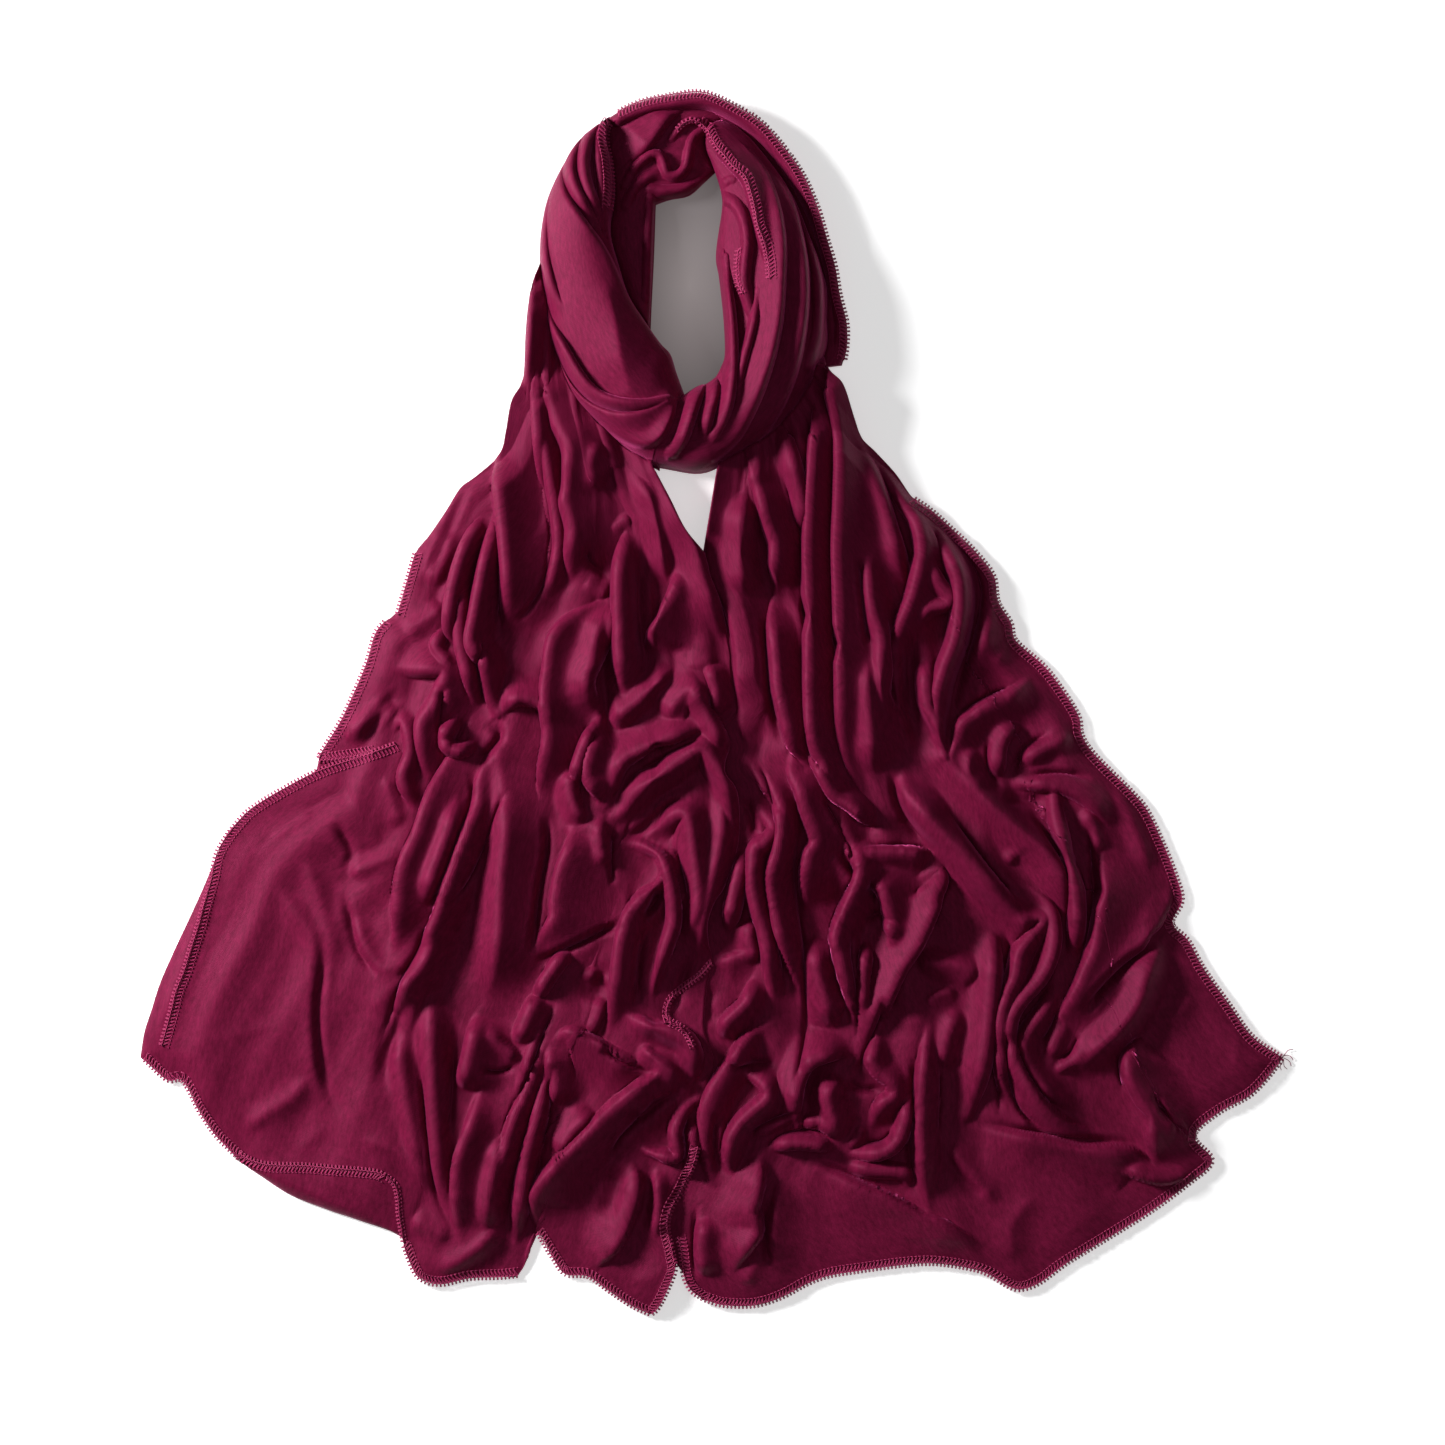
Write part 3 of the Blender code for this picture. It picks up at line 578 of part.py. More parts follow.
def nearest(points, line):
    """For each point: its distance to the line, how far along the line the nearest place is
    (0 to 1), and which hand of the walk the point is on (1 right, -1 left on the chart)."""
    a, b = line[:-1], line[1:]
    run = b - a
    lengths = np.maximum(np.hypot(*run.T), 1e-9)
    offset = points[:, None] - a[None]
    share = np.clip(np.sum(offset * run, axis=2) / lengths ** 2, 0, 1)
    gap = offset - share[..., None] * run
    distance = np.hypot(gap[..., 0], gap[..., 1])
    best = np.argmin(distance, axis=1)
    rows = np.arange(len(points))
    reached = (np.r_[0, np.cumsum(lengths)[:-1]][best] + share[rows, best] * lengths[best]) / lengths.sum()
    cross = run[best, 0] * offset[rows, best, 1] - run[best, 1] * offset[rows, best, 0]
    return distance[rows, best], reached, np.where(cross > 0, 1.0, -1.0)


def distance_to(points, curves):
    return nearest(points, side(curves))[0]


def eased(x):
    """0 below 0, 1 above 1, and a smooth step between."""
    x = np.clip(x, 0, 1)
    return x * x * (3 - 2 * x)


def fold_height(points, fold):
    """One fold: a round or running-out slope to either side of its crest, dying at its ends."""
    line = smooth(fold.crest, CREST_STEPS)
    right, left = (reach if reach < NARROW_SPREAD else reach * RUN_OUT for reach in (fold.right, fold.left))
    reach = max(right, left)
    near = np.all((points > line.min(0) - reach) & (points < line.max(0) + reach), axis=1)
    height = np.zeros(len(points))
    if near.any():
        distance, reached, hand = nearest(points[near], line)
        spread = np.where(hand > 0, right, left)
        power = np.where(spread < NARROW_SPREAD, 1.0, SOFT_POWER)
        slope = np.clip(1 - (distance / spread) ** 2, 0, 1) ** power
        ends = (fold.start + (1 - fold.start) * eased(reached / TAPER)) * (
            fold.end + (1 - fold.end) * eased((1 - reached) / TAPER))
        length = np.hypot(*np.diff(line, axis=0).T).sum()
        height[near] = fold.height * MM * min(1.0, length / SHORT_FOLD) * slope * ends
    return height


def pressed(points, creases):
    """The share of the height that the creases leave at each point."""
    left = np.ones(len(points))
    for crease in creases:
        line = smooth(crease.path, CREST_STEPS)
        near = np.all((points > line.min(0) - crease.spread) & (points < line.max(0) + crease.spread), axis=1)
        if near.any():
            distance, reached, _ = nearest(points[near], line)
            ends = np.clip(4 * np.minimum(reached, 1 - reached), 0, 1)
            left[near] *= 1 - crease.share * ends * np.clip(1 - (distance / crease.spread) ** 2, 0, 1) ** 1.5
    return left


def folded(points, base, folds, scale):
    """Folds and the cloth between them, blended so that the highest one shows."""
    total = base ** FOLD_BLEND
    for fold in folds:
        total = total + (scale * fold_height(points, fold)) ** FOLD_BLEND
    return total ** (1 / FOLD_BLEND)


def billows(cells):
    """The slow waves over a tail's own two directions. A slower sine bends each one."""
    across, along = cells
    u = np.tile(np.linspace(0, 1, across + 1), along + 1)
    v = np.repeat(np.linspace(0, 1, along + 1), across + 1)
    total = np.zeros(len(u))
    for wave in WAVES:
        bend = wave.wander * np.sin(2 * np.pi * (1.3 * v + 0.9 * u + 2 * wave.start))
        phase = wave.across * u + wave.along * v + wave.start + 0.35 * bend
        total += wave.height * (0.5 + 0.5 * np.sin(2 * np.pi * phase)) ** 1.5
    return total * MM


def tail_height(points, tail):
    """Upper face of a tail: its folds over the surface, heaped up beside the loop and brought
    down to the surface along its free edges."""
    heap = TAIL_HEAP_HEIGHT * np.exp(-(distance_to(points, tail.first) * CHART_STEP / HEAP_REACH) ** 2)
    base = TAIL_REST_HEIGHT + np.maximum(billows(tail.cells) - SETTLED, 0)
    height = folded(points, base, tail.folds, TAIL_FOLD_SCALE) * pressed(points, tail.creases) + heap
    edge = np.clip(distance_to(points, tail.free[:1]) * CHART_STEP / EDGE_REACH, 0, 1)
    edge = np.minimum(edge, np.clip(distance_to(points, tail.free[1:]) * CHART_STEP / EDGE_REACH, 0, 1))
    edge = np.maximum(edge, np.clip(heap / TAIL_HEAP_HEIGHT, 0, 1))
    height = EDGE_HEIGHT + (height - EDGE_HEIGHT) * np.sqrt(edge)
    if tail.under:
        under = np.clip(distance_to(points, (tail.under,)) / UNDER_REACH, 0, 1)
        height = EDGE_HEIGHT + (height - EDGE_HEIGHT) * (UNDER_SHARE + (1 - UNDER_SHARE) * under)
    return height


def band_height(points, band):
    """Upper face of a rounded band: a crown across it with the pleats on top."""
    across, along = band.cells
    u = np.tile(np.linspace(0, 1, across + 1), along + 1)
    v = np.repeat(np.linspace(0, 1, along + 1), across + 1)
    crown = np.interp(v, (0, 0.5, 1), band.crown)
    rim = np.interp(u, (0, 1), band.rims)
    dome = crown * (rim + (1 - rim) * (4 * u * (1 - u)) ** DOME_POWER)
    return dome + folded(points, np.zeros(len(points)), band.folds, BAND_FOLD_SCALE)


def material(name, colour, roughness):
    made = bpy.data.materials.new(name)
    made.use_nodes = True
    shader = made.node_tree.nodes["Principled BSDF"]
    shader.inputs["Base Color"].default_value = (*colour, 1)
    shader.inputs["Roughness"].default_value = roughness
    shader.inputs["Metallic"].default_value = 0.0
    return made


def closed_mesh(name, grid, top, bottom, cloth):
    """The solid between two faces of one grid: upper and lower quads and a wall round the rim."""
    rows, columns = grid.shape[:2]
    plan = (grid.reshape(-1, 2) - CHART_CENTRE) * (CHART_STEP, -CHART_STEP)
    points = np.vstack([np.column_stack([plan, top]), np.column_stack([plan, bottom])])
    index = np.arange(rows * columns).reshape(rows, columns)
    quads = np.stack([index[:-1, :-1], index[:-1, 1:], index[1:, 1:], index[1:, :-1]], axis=-1)
    quads = quads.reshape(-1, 4)
    rim = np.r_[index[0, :-1], index[:-1, -1], index[-1, :0:-1], index[:0:-1, 0]]
    after = np.roll(rim, -1)
    under = rows * columns
    walls = np.column_stack([after, rim, rim + under, after + under])
    faces = np.vstack([quads, (quads + under)[:, ::-1], walls])
    mesh = bpy.data.meshes.new(name)
    mesh.from_pydata(points.tolist(), [], faces.tolist())
    ahead = points[quads[:, 1]] - points[quads[:, 0]]
    beside = points[quads[:, 3]] - points[quads[:, 0]]
    if np.median(ahead[:, 0] * beside[:, 1] - ahead[:, 1] * beside[:, 0]) < 0:
        mesh.flip_normals()
    mesh.shade_smooth()
    mesh.materials.append(cloth)
    made = bpy.data.objects.new(name, mesh)
    bpy.context.scene.collection.objects.link(made)
    return made


def make_tail(tail, cloth):
    """A wall of cloth: its lower face follows the upper one a wall's thickness below, and is
    flat where the cloth lies on the surface."""
    grid = patch(tail)
    top = tail_height(grid.reshape(-1, 2), tail)
    heights = top.reshape(grid.shape[:2])
    run_u = np.hypot(*np.gradient(grid, axis=1).transpose(2, 0, 1)) * CHART_STEP
    run_v = np.hypot(*np.gradient(grid, axis=0).transpose(2, 0, 1)) * CHART_STEP
    slope = np.hypot(np.gradient(heights, axis=1) / run_u, np.gradient(heights, axis=0) / run_v)
    wall = CLOTH_WALL * np.minimum(np.sqrt(1 + slope ** 2), STEEPEST_WALL)
    bottom = np.clip(LIFT_RATE * (heights - LYING_HEIGHT), 0, np.maximum(heights - wall, 0)).ravel()
    return closed_mesh(tail.name, grid, top, bottom, cloth)


def make_band(band, cloth):
    """A rounded solid over the hidden layers of the winding, flat underneath."""
    grid = patch(band)
    top = band_height(grid.reshape(-1, 2), band)
    return closed_mesh(band.name, grid, top, np.zeros(len(top)), cloth)


def main():
    for old in list(bpy.data.objects):
        bpy.data.objects.remove(old)
    cloth = material("jersey", (0.16, 0.008, 0.045), 0.75)
    for band in BANDS:
        make_band(band, cloth)
    for tail in TAILS:
        make_tail(tail, cloth)


main()
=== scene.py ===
# %% [markdown]
# # A jersey scarf, wound once and laid out flat
#
# The real scarf is one rectangle of fine jersey, about 1.80 m by 0.80 m. Its four edges are
# overlocked and nothing else is sewn on. It is wound once into a neck loop, and its two ends
# are spread out below in soft folds.
#
# Here each stretch of the cloth that shows is one thin shell. It is worked out on the same plan
# chart and between the same edges as its solid, with many more points, and it takes the
# solid's place. The overlock is sewn on afterwards as real thread.

from collections import namedtuple
import math

import bpy
import numpy as np
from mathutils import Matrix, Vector


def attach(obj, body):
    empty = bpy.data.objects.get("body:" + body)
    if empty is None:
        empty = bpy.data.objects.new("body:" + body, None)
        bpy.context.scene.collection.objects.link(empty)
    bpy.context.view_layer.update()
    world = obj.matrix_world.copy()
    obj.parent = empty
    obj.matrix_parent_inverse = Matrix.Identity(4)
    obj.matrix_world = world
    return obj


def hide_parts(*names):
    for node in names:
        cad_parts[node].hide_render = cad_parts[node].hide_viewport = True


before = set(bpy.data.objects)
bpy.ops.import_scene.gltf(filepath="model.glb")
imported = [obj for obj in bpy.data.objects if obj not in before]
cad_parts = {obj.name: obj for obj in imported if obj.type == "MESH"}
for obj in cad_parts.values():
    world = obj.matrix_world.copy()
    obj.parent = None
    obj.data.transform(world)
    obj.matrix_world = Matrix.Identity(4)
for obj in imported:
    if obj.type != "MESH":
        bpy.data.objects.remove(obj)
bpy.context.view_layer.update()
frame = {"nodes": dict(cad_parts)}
print("the solids:", ", ".join(frame["nodes"]))

# %% [markdown]
# ## The plan chart
#
# A pattern cutter draws on squared paper. The chart counts small steps to the right and down,
# and one step is 0.58 mm. The sizes below are the ones that the solids have.

# %% Sizes
CHART_STEP = 0.00058        # metres
CHART_CENTRE = (711.0, 704.0)
MM = 0.001
JERSEY_WALL = 0.0009        # one layer of cloth
FRONT_BAND_HEIGHT = 0.034   # crown of the two front bands of the loop
BACK_BAND_HEIGHT = 0.020
TAIL_REST_HEIGHT = 0.0026   # where a tail lies smooth
TAIL_HEAP_HEIGHT = 0.011    # added beside the loop, where the tails lie on hidden layers
HEAP_REACH = 0.045
EDGE_HEIGHT = 0.0022        # free edges
EDGE_REACH = 0.016          # a free edge rises to the full folds over this distance
UNDER_SHARE = 0.4           # height left of the right tail where the left one lies over it
UNDER_REACH = 22.0          # chart steps

# %% [markdown]
# A fold is a ridge along a crest line. One side of it is often steep, where the cloth rolls
# over, and the other runs out softly. So a fold is stated by its crest and by how far it
# spreads to the right and the left hand of someone who walks along the crest.

# %% Folds, creases and edge curves
Fold = namedtuple("Fold", "crest right left height start end", defaults=(0.05, 0.05))
Crease = namedtuple("Crease", "path spread share")

# %% Edge curves
LEFT_RIM = ((600, 129), (588, 139), (576, 151), (561, 174), (548, 205), (542, 238), (541, 269))
LEFT_SEAM = ((541, 269), (545, 300), (551, 335), (560, 364), (574, 396), (588, 414),
             (606, 433), (622, 447), (638, 458), (652, 466))
LEFT_INNER = ((609, 121), (608, 133), (607, 146), (612, 166), (614, 198), (610, 234),
              (619, 270), (629, 300), (645, 325), (660, 346), (670, 357), (676, 375), (684, 397))
BOTTOM_FOLD = ((652, 466), (658, 449), (668, 437), (675, 420), (677, 407), (684, 397))
RIGHT_SEAM = ((652, 466), (669, 469), (692, 473), (706, 472), (718, 467), (742, 454), (760, 444),
              (778, 430), (795, 411), (810, 388), (818, 368))
RIGHT_UNDER_WEDGE = ((818, 368), (826, 345), (826, 319), (826, 290), (819, 266), (807, 235),
                     (791, 197), (762, 155), (740, 131), (724, 122))
RIGHT_TOP = ((724, 122), (713, 128), (707, 139), (707, 152), (711, 163), (715, 172))
HOLE_RIGHT = ((715, 172), (721, 193), (722, 211), (717, 256), (720, 279), (724, 319),
              (725, 353), (722, 367), (713, 382), (695, 390), (684, 397))
HOLE_LEFT = ((650, 322), (651, 300), (653, 260), (655, 205))
HOLE_TOP = ((655, 205), (669, 200), (688, 196), (702, 184), (715, 172))
STRIP_OUTER = ((643, 322), (629, 300), (619, 270), (610, 234), (614, 198), (612, 166), (607, 146),
               (608, 133), (609, 121))
CROWN = ((609, 121), (622, 113), (635, 107), (653, 102), (689, 97), (709, 99), (735, 111), (760, 126),
         (781, 149), (801, 177), (816, 210), (826, 243), (834, 269), (839, 297), (846, 325),
         (846, 348), (841, 365))
TAIL_LEFT_RIM = ((541, 269), (533, 292), (528, 335), (525, 381), (513, 404), (507, 435), (501, 455),
                 (476, 477), (461, 488), (447, 510), (430, 535), (416, 553), (408, 580), (398, 612),
                 (386, 621), (376, 634), (368, 661), (357, 688), (341, 722), (321, 755), (316, 771),
                 (300, 780), (260, 803), (240, 820), (225, 838), (205, 885), (190, 918), (175, 950),
                 (161, 982), (152, 1010), (145, 1032), (141, 1057))
TAIL_LEFT_HEM = ((141, 1057), (168, 1079), (184, 1080), (200, 1110), (217, 1135), (240, 1160),
                 (262, 1176), (292, 1195), (330, 1210), (360, 1220), (400, 1235), (406, 1252),
                 (418, 1275), (440, 1283), (470, 1277), (500, 1276), (519, 1274), (528, 1244),
                 (538, 1231), (554, 1258), (566, 1273), (588, 1275), (607, 1288), (631, 1304),
                 (651, 1313))
CENTRE_SEAM = ((704, 553), (707, 575), (717, 600), (725, 630), (730, 655), (731, 680), (739, 700),
               (736, 713), (723, 728), (726, 748), (722, 770), (735, 795), (736, 845), (722, 885),
               (712, 900), (706, 920), (706, 940), (711, 960), (706, 985), (704, 1010), (704, 1030),
               (711, 1050), (714, 1065), (706, 1085), (700, 1105), (699, 1140), (690, 1170),
               (679, 1192), (669, 1212), (670, 1240), (676, 1262))
GAP_LEFT = ((652, 466), (670, 500), (685, 530), (704, 553))
GAP_RIGHT = ((718, 467), (712, 505), (704, 553))
CORNER_LEFT = ((676, 1262), (668, 1286), (658, 1306), (651, 1313))
CORNER_RIGHT = ((676, 1262), (684, 1273), (691, 1288), (704, 1298))
CENTRE_CELLS = (3, 24, 2)   # along the gap, the seam and the corner, the same on both tails
TAIL_RIGHT_TOP = ((718, 467), (742, 454), (760, 444), (778, 430), (795, 411), (810, 388), (818, 368),
                  (829, 376))
TAIL_RIGHT_HEM = ((704, 1298), (724, 1304), (755, 1304), (781, 1296), (806, 1283), (827, 1275),
                  (857, 1270), (900, 1264), (932, 1262), (964, 1266), (986, 1272), (1008, 1285),
                  (1021, 1288), (1040, 1281), (1066, 1262), (1107, 1237), (1149, 1211),
                  (1187, 1183), (1211, 1160), (1193, 1135), (1219, 1111), (1251, 1093),
                  (1276, 1065), (1281, 1057))
TAIL_RIGHT_RIM = ((829, 376), (842, 389), (853, 420), (861, 440), (875, 453), (895, 474),
                  (913, 499), (933, 513), (956, 534), (976, 554), (993, 577), (997, 602),
                  (1010, 623), (1015, 641), (1043, 666), (1063, 692), (1078, 717), (1081, 735),
                  (1094, 755), (1130, 791), (1146, 810), (1161, 841), (1174, 873), (1181, 900),
                  (1171, 923), (1187, 940), (1203, 969), (1228, 1004), (1251, 1036), (1281, 1057))

# %% [markdown]
# Every fold of the tails and the loop was found in the photo and stated one by one: its crest, its
# spread to the right and the left, its height in millimetres, and the shares of the height left
# at its two ends. A random pattern would be shorter, but no two folds of a real scarf are alike
# and each has its place.

# %% Folds of the left tail
TAIL_LEFT_FOLDS = (
    # Beside the loop
    Fold(((515, 395), (502, 450), (501, 480), (509, 570), (509, 615), (503, 650)), 6, 30, 13, 0.64, 0.09),
    Fold(((538, 395), (541, 450), (549, 510), (552, 545), (540, 595), (522, 618)), 3, 16, 11, 0.81, 0.04),
    Fold(((535, 300), (533, 340), (530, 385)), 9, 16, 12, 0.64, 0.64),
    Fold(((552, 400), (562, 430), (573, 455), (567, 495), (575, 530), (572, 560),
          (575, 600)), 8, 28, 12, 0.64),
    Fold(((604, 440), (593, 460), (594, 478), (606, 492)), 18, 22, 11),
    Fold(((633, 516), (622, 560), (620, 600), (621, 640), (624, 680), (633, 720)), 6, 20, 12, 0.09, 0.04),
    Fold(((610, 536), (622, 524), (635, 518)), 12, 8, 10),
    Fold(((580, 583), (595, 588), (612, 597)), 10, 14, 9),
    Fold(((628, 470), (650, 500), (658, 530), (663, 560), (670, 597)), 12, 10, 9, 0.36, 0.04),
    Fold(((655, 475), (678, 520), (695, 548), (703, 580), (716, 620), (722, 650)), 26, 14, 12, 0.49, 0.16),
    Fold(((682, 560), (676, 590), (663, 612), (652, 634), (647, 660)), 4, 30, 11, 0.16, 0.09),
    Fold(((618, 597), (608, 636), (587, 680), (600, 718)), 26, 5, 12, 0.16, 0.25),
    Fold(((608, 600), (575, 617), (555, 638), (549, 672), (546, 702), (550, 735), (545, 765), (541, 795),
          (550, 815)), 4, 30, 11, 0.25, 0.09),
    # The knot of small folds at the left
    Fold(((487, 510), (467, 550), (455, 590), (451, 628), (459, 658)), 5, 12, 12),
    Fold(((503, 505), (489, 555), (477, 615), (473, 645), (487, 668), (493, 700),
          (500, 714)), 5, 13, 13, 0.25, 0.36),
    Fold(((466, 565), (462, 612), (462, 642), (470, 680), (478, 716)), 5, 9, 10),
    Fold(((450, 628), (437, 645), (448, 662), (462, 660)), 6, 9, 10, 0.25, 0.25),
    Fold(((462, 714), (446, 735), (450, 748), (465, 750), (480, 738)), 6, 7, 10, 0.16, 0.16),
    Fold(((500, 714), (520, 699), (548, 707), (548, 735)), 5, 14, 10, 0.36, 0.25),
    Fold(((517, 667), (505, 700)), 12, 20, 9, 0.25, 0.09),
    Fold(((375, 664), (410, 669), (446, 672), (437, 702), (423, 727), (427, 765),
          (435, 795)), 8, 22, 9, 0.09, 0.16),
    Fold(((395, 630), (425, 622), (450, 600)), 18, 14, 6),
    Fold(((340, 742), (362, 725), (402, 697)), 12, 12, 7),
    Fold(((385, 741), (404, 722), (412, 750), (404, 778), (413, 800), (424, 820)), 6, 10, 7),
    Fold(((452, 520), (436, 560), (428, 595)), 12, 12, 6),
    # The long folds below the knot
    Fold(((450, 760), (434, 792), (421, 830), (405, 867), (400, 905), (399, 935),
          (386, 968)), 4, 34, 12, 0.49, 0.09),
    Fold(((462, 785), (450, 830), (432, 880), (425, 920)), 14, 16, 12, 0.16, 0.04),
    Fold(((497, 750), (483, 775), (474, 820), (455, 870), (440, 915), (420, 960), (400, 1005), (385, 1040),
          (370, 1080)), 4, 17, 13, 0.36, 0.04),
    Fold(((500, 760), (508, 820), (503, 880), (500, 940), (492, 985), (478, 1010)), 18, 32, 12, 0.49, 0.09),
    Fold(((432, 960), (433, 1040), (437, 1120), (443, 1180), (452, 1222)), 14, 14, 9, 0.09, 0.16),
    Fold(((396, 1000), (405, 1080), (420, 1160), (428, 1200)), 12, 14, 7),
    Fold(((481, 1012), (476, 1035), (470, 1062), (462, 1095)), 8, 26, 10, 0.25, 0.04),
    Fold(((484, 1022), (500, 1042), (524, 1062)), 10, 6, 9, 0.16, 0.36),
    Fold(((484, 1083), (470, 1130), (458, 1165), (459, 1215), (463, 1240)), 4, 22, 10, 0.36, 0.36),
    Fold(((505, 1120), (497, 1160), (489, 1200), (488, 1240)), 14, 10, 9, 0.09, 0.25),
    Fold(((541, 990), (528, 1020), (517, 1045)), 8, 16, 11, 0.16, 0.25),
    Fold(((545, 1010), (530, 1060), (518, 1105), (503, 1160), (500, 1200)), 5, 12, 9, 0.25, 0.09),
    Fold(((549, 1055), (540, 1105), (528, 1155), (520, 1205), (514, 1255)), 5, 9, 9, 0.16, 0.16),
    # The middle of the left tail
    Fold(((600, 720), (586, 745), (575, 780), (578, 789)), 5, 7, 12, 0.36, 0.16),
    Fold(((601, 722), (588, 770), (596, 790), (606, 806)), 3, 26, 12, 0.25, 0.36),
    Fold(((553, 823), (574, 834), (562, 870), (557, 900), (556, 917), (543, 938),
          (531, 955)), 4, 40, 11, 0.16, 0.16),
    Fold(((570, 760), (573, 800), (590, 830)), 12, 8, 9),
    Fold(((600, 812), (600, 845), (606, 872)), 10, 8, 10, 0.25, 0.04),
    Fold(((608, 803), (617, 772), (627, 758), (648, 747), (672, 737), (700, 728),
          (714, 722)), 5, 16, 11, 0.36, 0.36),
    Fold(((606, 822), (622, 812), (640, 790), (662, 774), (686, 758), (702, 749), (716, 765), (727, 788),
          (733, 840)), 10, 12, 12, 0.36, 0.36),
    Fold(((640, 842), (660, 826), (686, 813), (694, 850), (699, 900), (690, 930),
          (678, 962)), 12, 16, 11, 0.16, 0.09),
    Fold(((718, 770), (722, 830), (712, 880), (702, 930), (690, 980)), 16, 10, 9, 0.16, 0.09),
    Fold(((624, 843), (645, 846), (662, 858), (671, 885), (674, 920), (664, 950), (654, 985), (652, 1010)),
         6, 6, 12, 0.25, 0.16),
    Fold(((636, 853), (655, 855), (664, 874), (640, 900), (629, 916), (621, 945), (616, 990), (612, 1020),
          (605, 1040)), 4, 22, 11, 0.16, 0.25),
    Fold(((600, 730), (640, 700), (668, 672), (682, 664)), 10, 20, 9),
    Fold(((682, 664), (700, 665), (718, 655)), 6, 18, 9, 0.25, 0.25),
    Fold(((685, 668), (700, 700), (716, 735), (722, 765)), 16, 8, 10, 0.25, 0.09),
    Fold(((706, 660), (716, 690), (714, 720)), 8, 12, 10, 0.36, 0.36),
    Fold(((660, 725), (690, 690), (700, 720)), 20, 20, 9),
    # Down to the hem
    Fold(((575, 945), (560, 960), (545, 982), (536, 1002)), 5, 8, 10, 0.09, 0.25),
    Fold(((575, 978), (600, 973), (618, 990)), 8, 8, 7),
    Fold(((604, 995), (597, 1018), (586, 1038)), 12, 6, 9, 0.16, 0.09),
    Fold(((550, 1048), (568, 1030), (592, 1040), (622, 1056), (650, 1071)), 26, 4, 9, 0.25, 0.36),
    Fold(((551, 1040), (551, 1075), (553, 1110)), 4, 20, 9, 0.36, 0.04),
    Fold(((633, 1037), (648, 1050), (659, 1068), (640, 1085), (615, 1105), (585, 1135), (560, 1160),
          (538, 1190), (535, 1208), (543, 1235)), 4, 26, 12, 0.25, 0.36),
    Fold(((600, 1110), (575, 1128), (556, 1160)), 14, 16, 9, 0.16, 0.04),
    Fold(((620, 1012), (645, 1022), (684, 1036), (695, 1060), (690, 1085)), 12, 6, 11, 0.25, 0.16),
    Fold(((638, 1040), (660, 1060), (684, 1083)), 12, 5, 11, 0.16, 0.49),
    Fold(((633, 1143), (655, 1152), (677, 1154), (676, 1128), (686, 1108),
          (698, 1098)), 5, 5, 9, 0.16, 0.36),
    Fold(((655, 1160), (659, 1200), (655, 1245)), 8, 10, 7),
    Fold(((628, 1150), (637, 1185), (622, 1235), (603, 1258), (588, 1272)), 24, 4, 8, 0.09, 0.36),
    Fold(((676, 1262), (650, 1276), (625, 1282)), 12, 12, 5),
    Fold(((690, 1110), (694, 1150), (684, 1185)), 8, 6, 7),
    # The smooth lower panel
    Fold(((343, 878), (368, 867), (392, 857), (412, 850)), 16, 12, 4, 0.0, 0.25),
    Fold(((383, 765), (393, 800), (405, 835)), 14, 12, 4, 0.0, 0.0),
    Fold(((235, 843), (262, 868), (292, 905), (316, 942), (319, 985), (313, 1040), (318, 1085),
          (345, 1140)),
         22, 18, 4.5, 0.0, 0.0),
    Fold(((262, 843), (290, 830), (325, 808)), 14, 14, 2.5, 0.0, 0.0),
    Fold(((296, 830), (310, 868), (330, 930), (347, 985)), 16, 14, 4, 0.0, 0.0),
    Fold(((360, 900), (358, 925), (370, 950), (388, 968), (425, 955)), 12, 12, 5, 0.0, 0.16),
    Fold(((425, 955), (386, 995), (369, 1022)), 12, 14, 4.5, 0.16, 0.0),
    Fold(((172, 1055), (205, 1042), (245, 1031), (300, 1022)), 14, 14, 3, 0.16, 0.0),
    Fold(((316, 1058), (298, 1092), (262, 1117), (236, 1140)), 16, 14, 4, 0.0, 0.09),
    Fold(((345, 1133), (390, 1146), (420, 1170), (430, 1205)), 14, 14, 5, 0.0, 0.04),
    Fold(((337, 1118), (310, 1142), (292, 1160)), 14, 12, 3, 0.0, 0.0),
    Fold(((405, 1215), (432, 1228), (458, 1240)), 12, 14, 6),
    Fold(((425, 1268), (455, 1262), (488, 1236), (500, 1210)), 14, 12, 6, 0.16, 0.16),
    Fold(((222, 850), (205, 900), (186, 960), (165, 1020), (150, 1050)), 10, 14, 4.5, 0.36, 0.36),
    Fold(((232, 1150), (262, 1170), (320, 1196), (395, 1226)), 12, 16, 5, 0.16, 0.36),
)

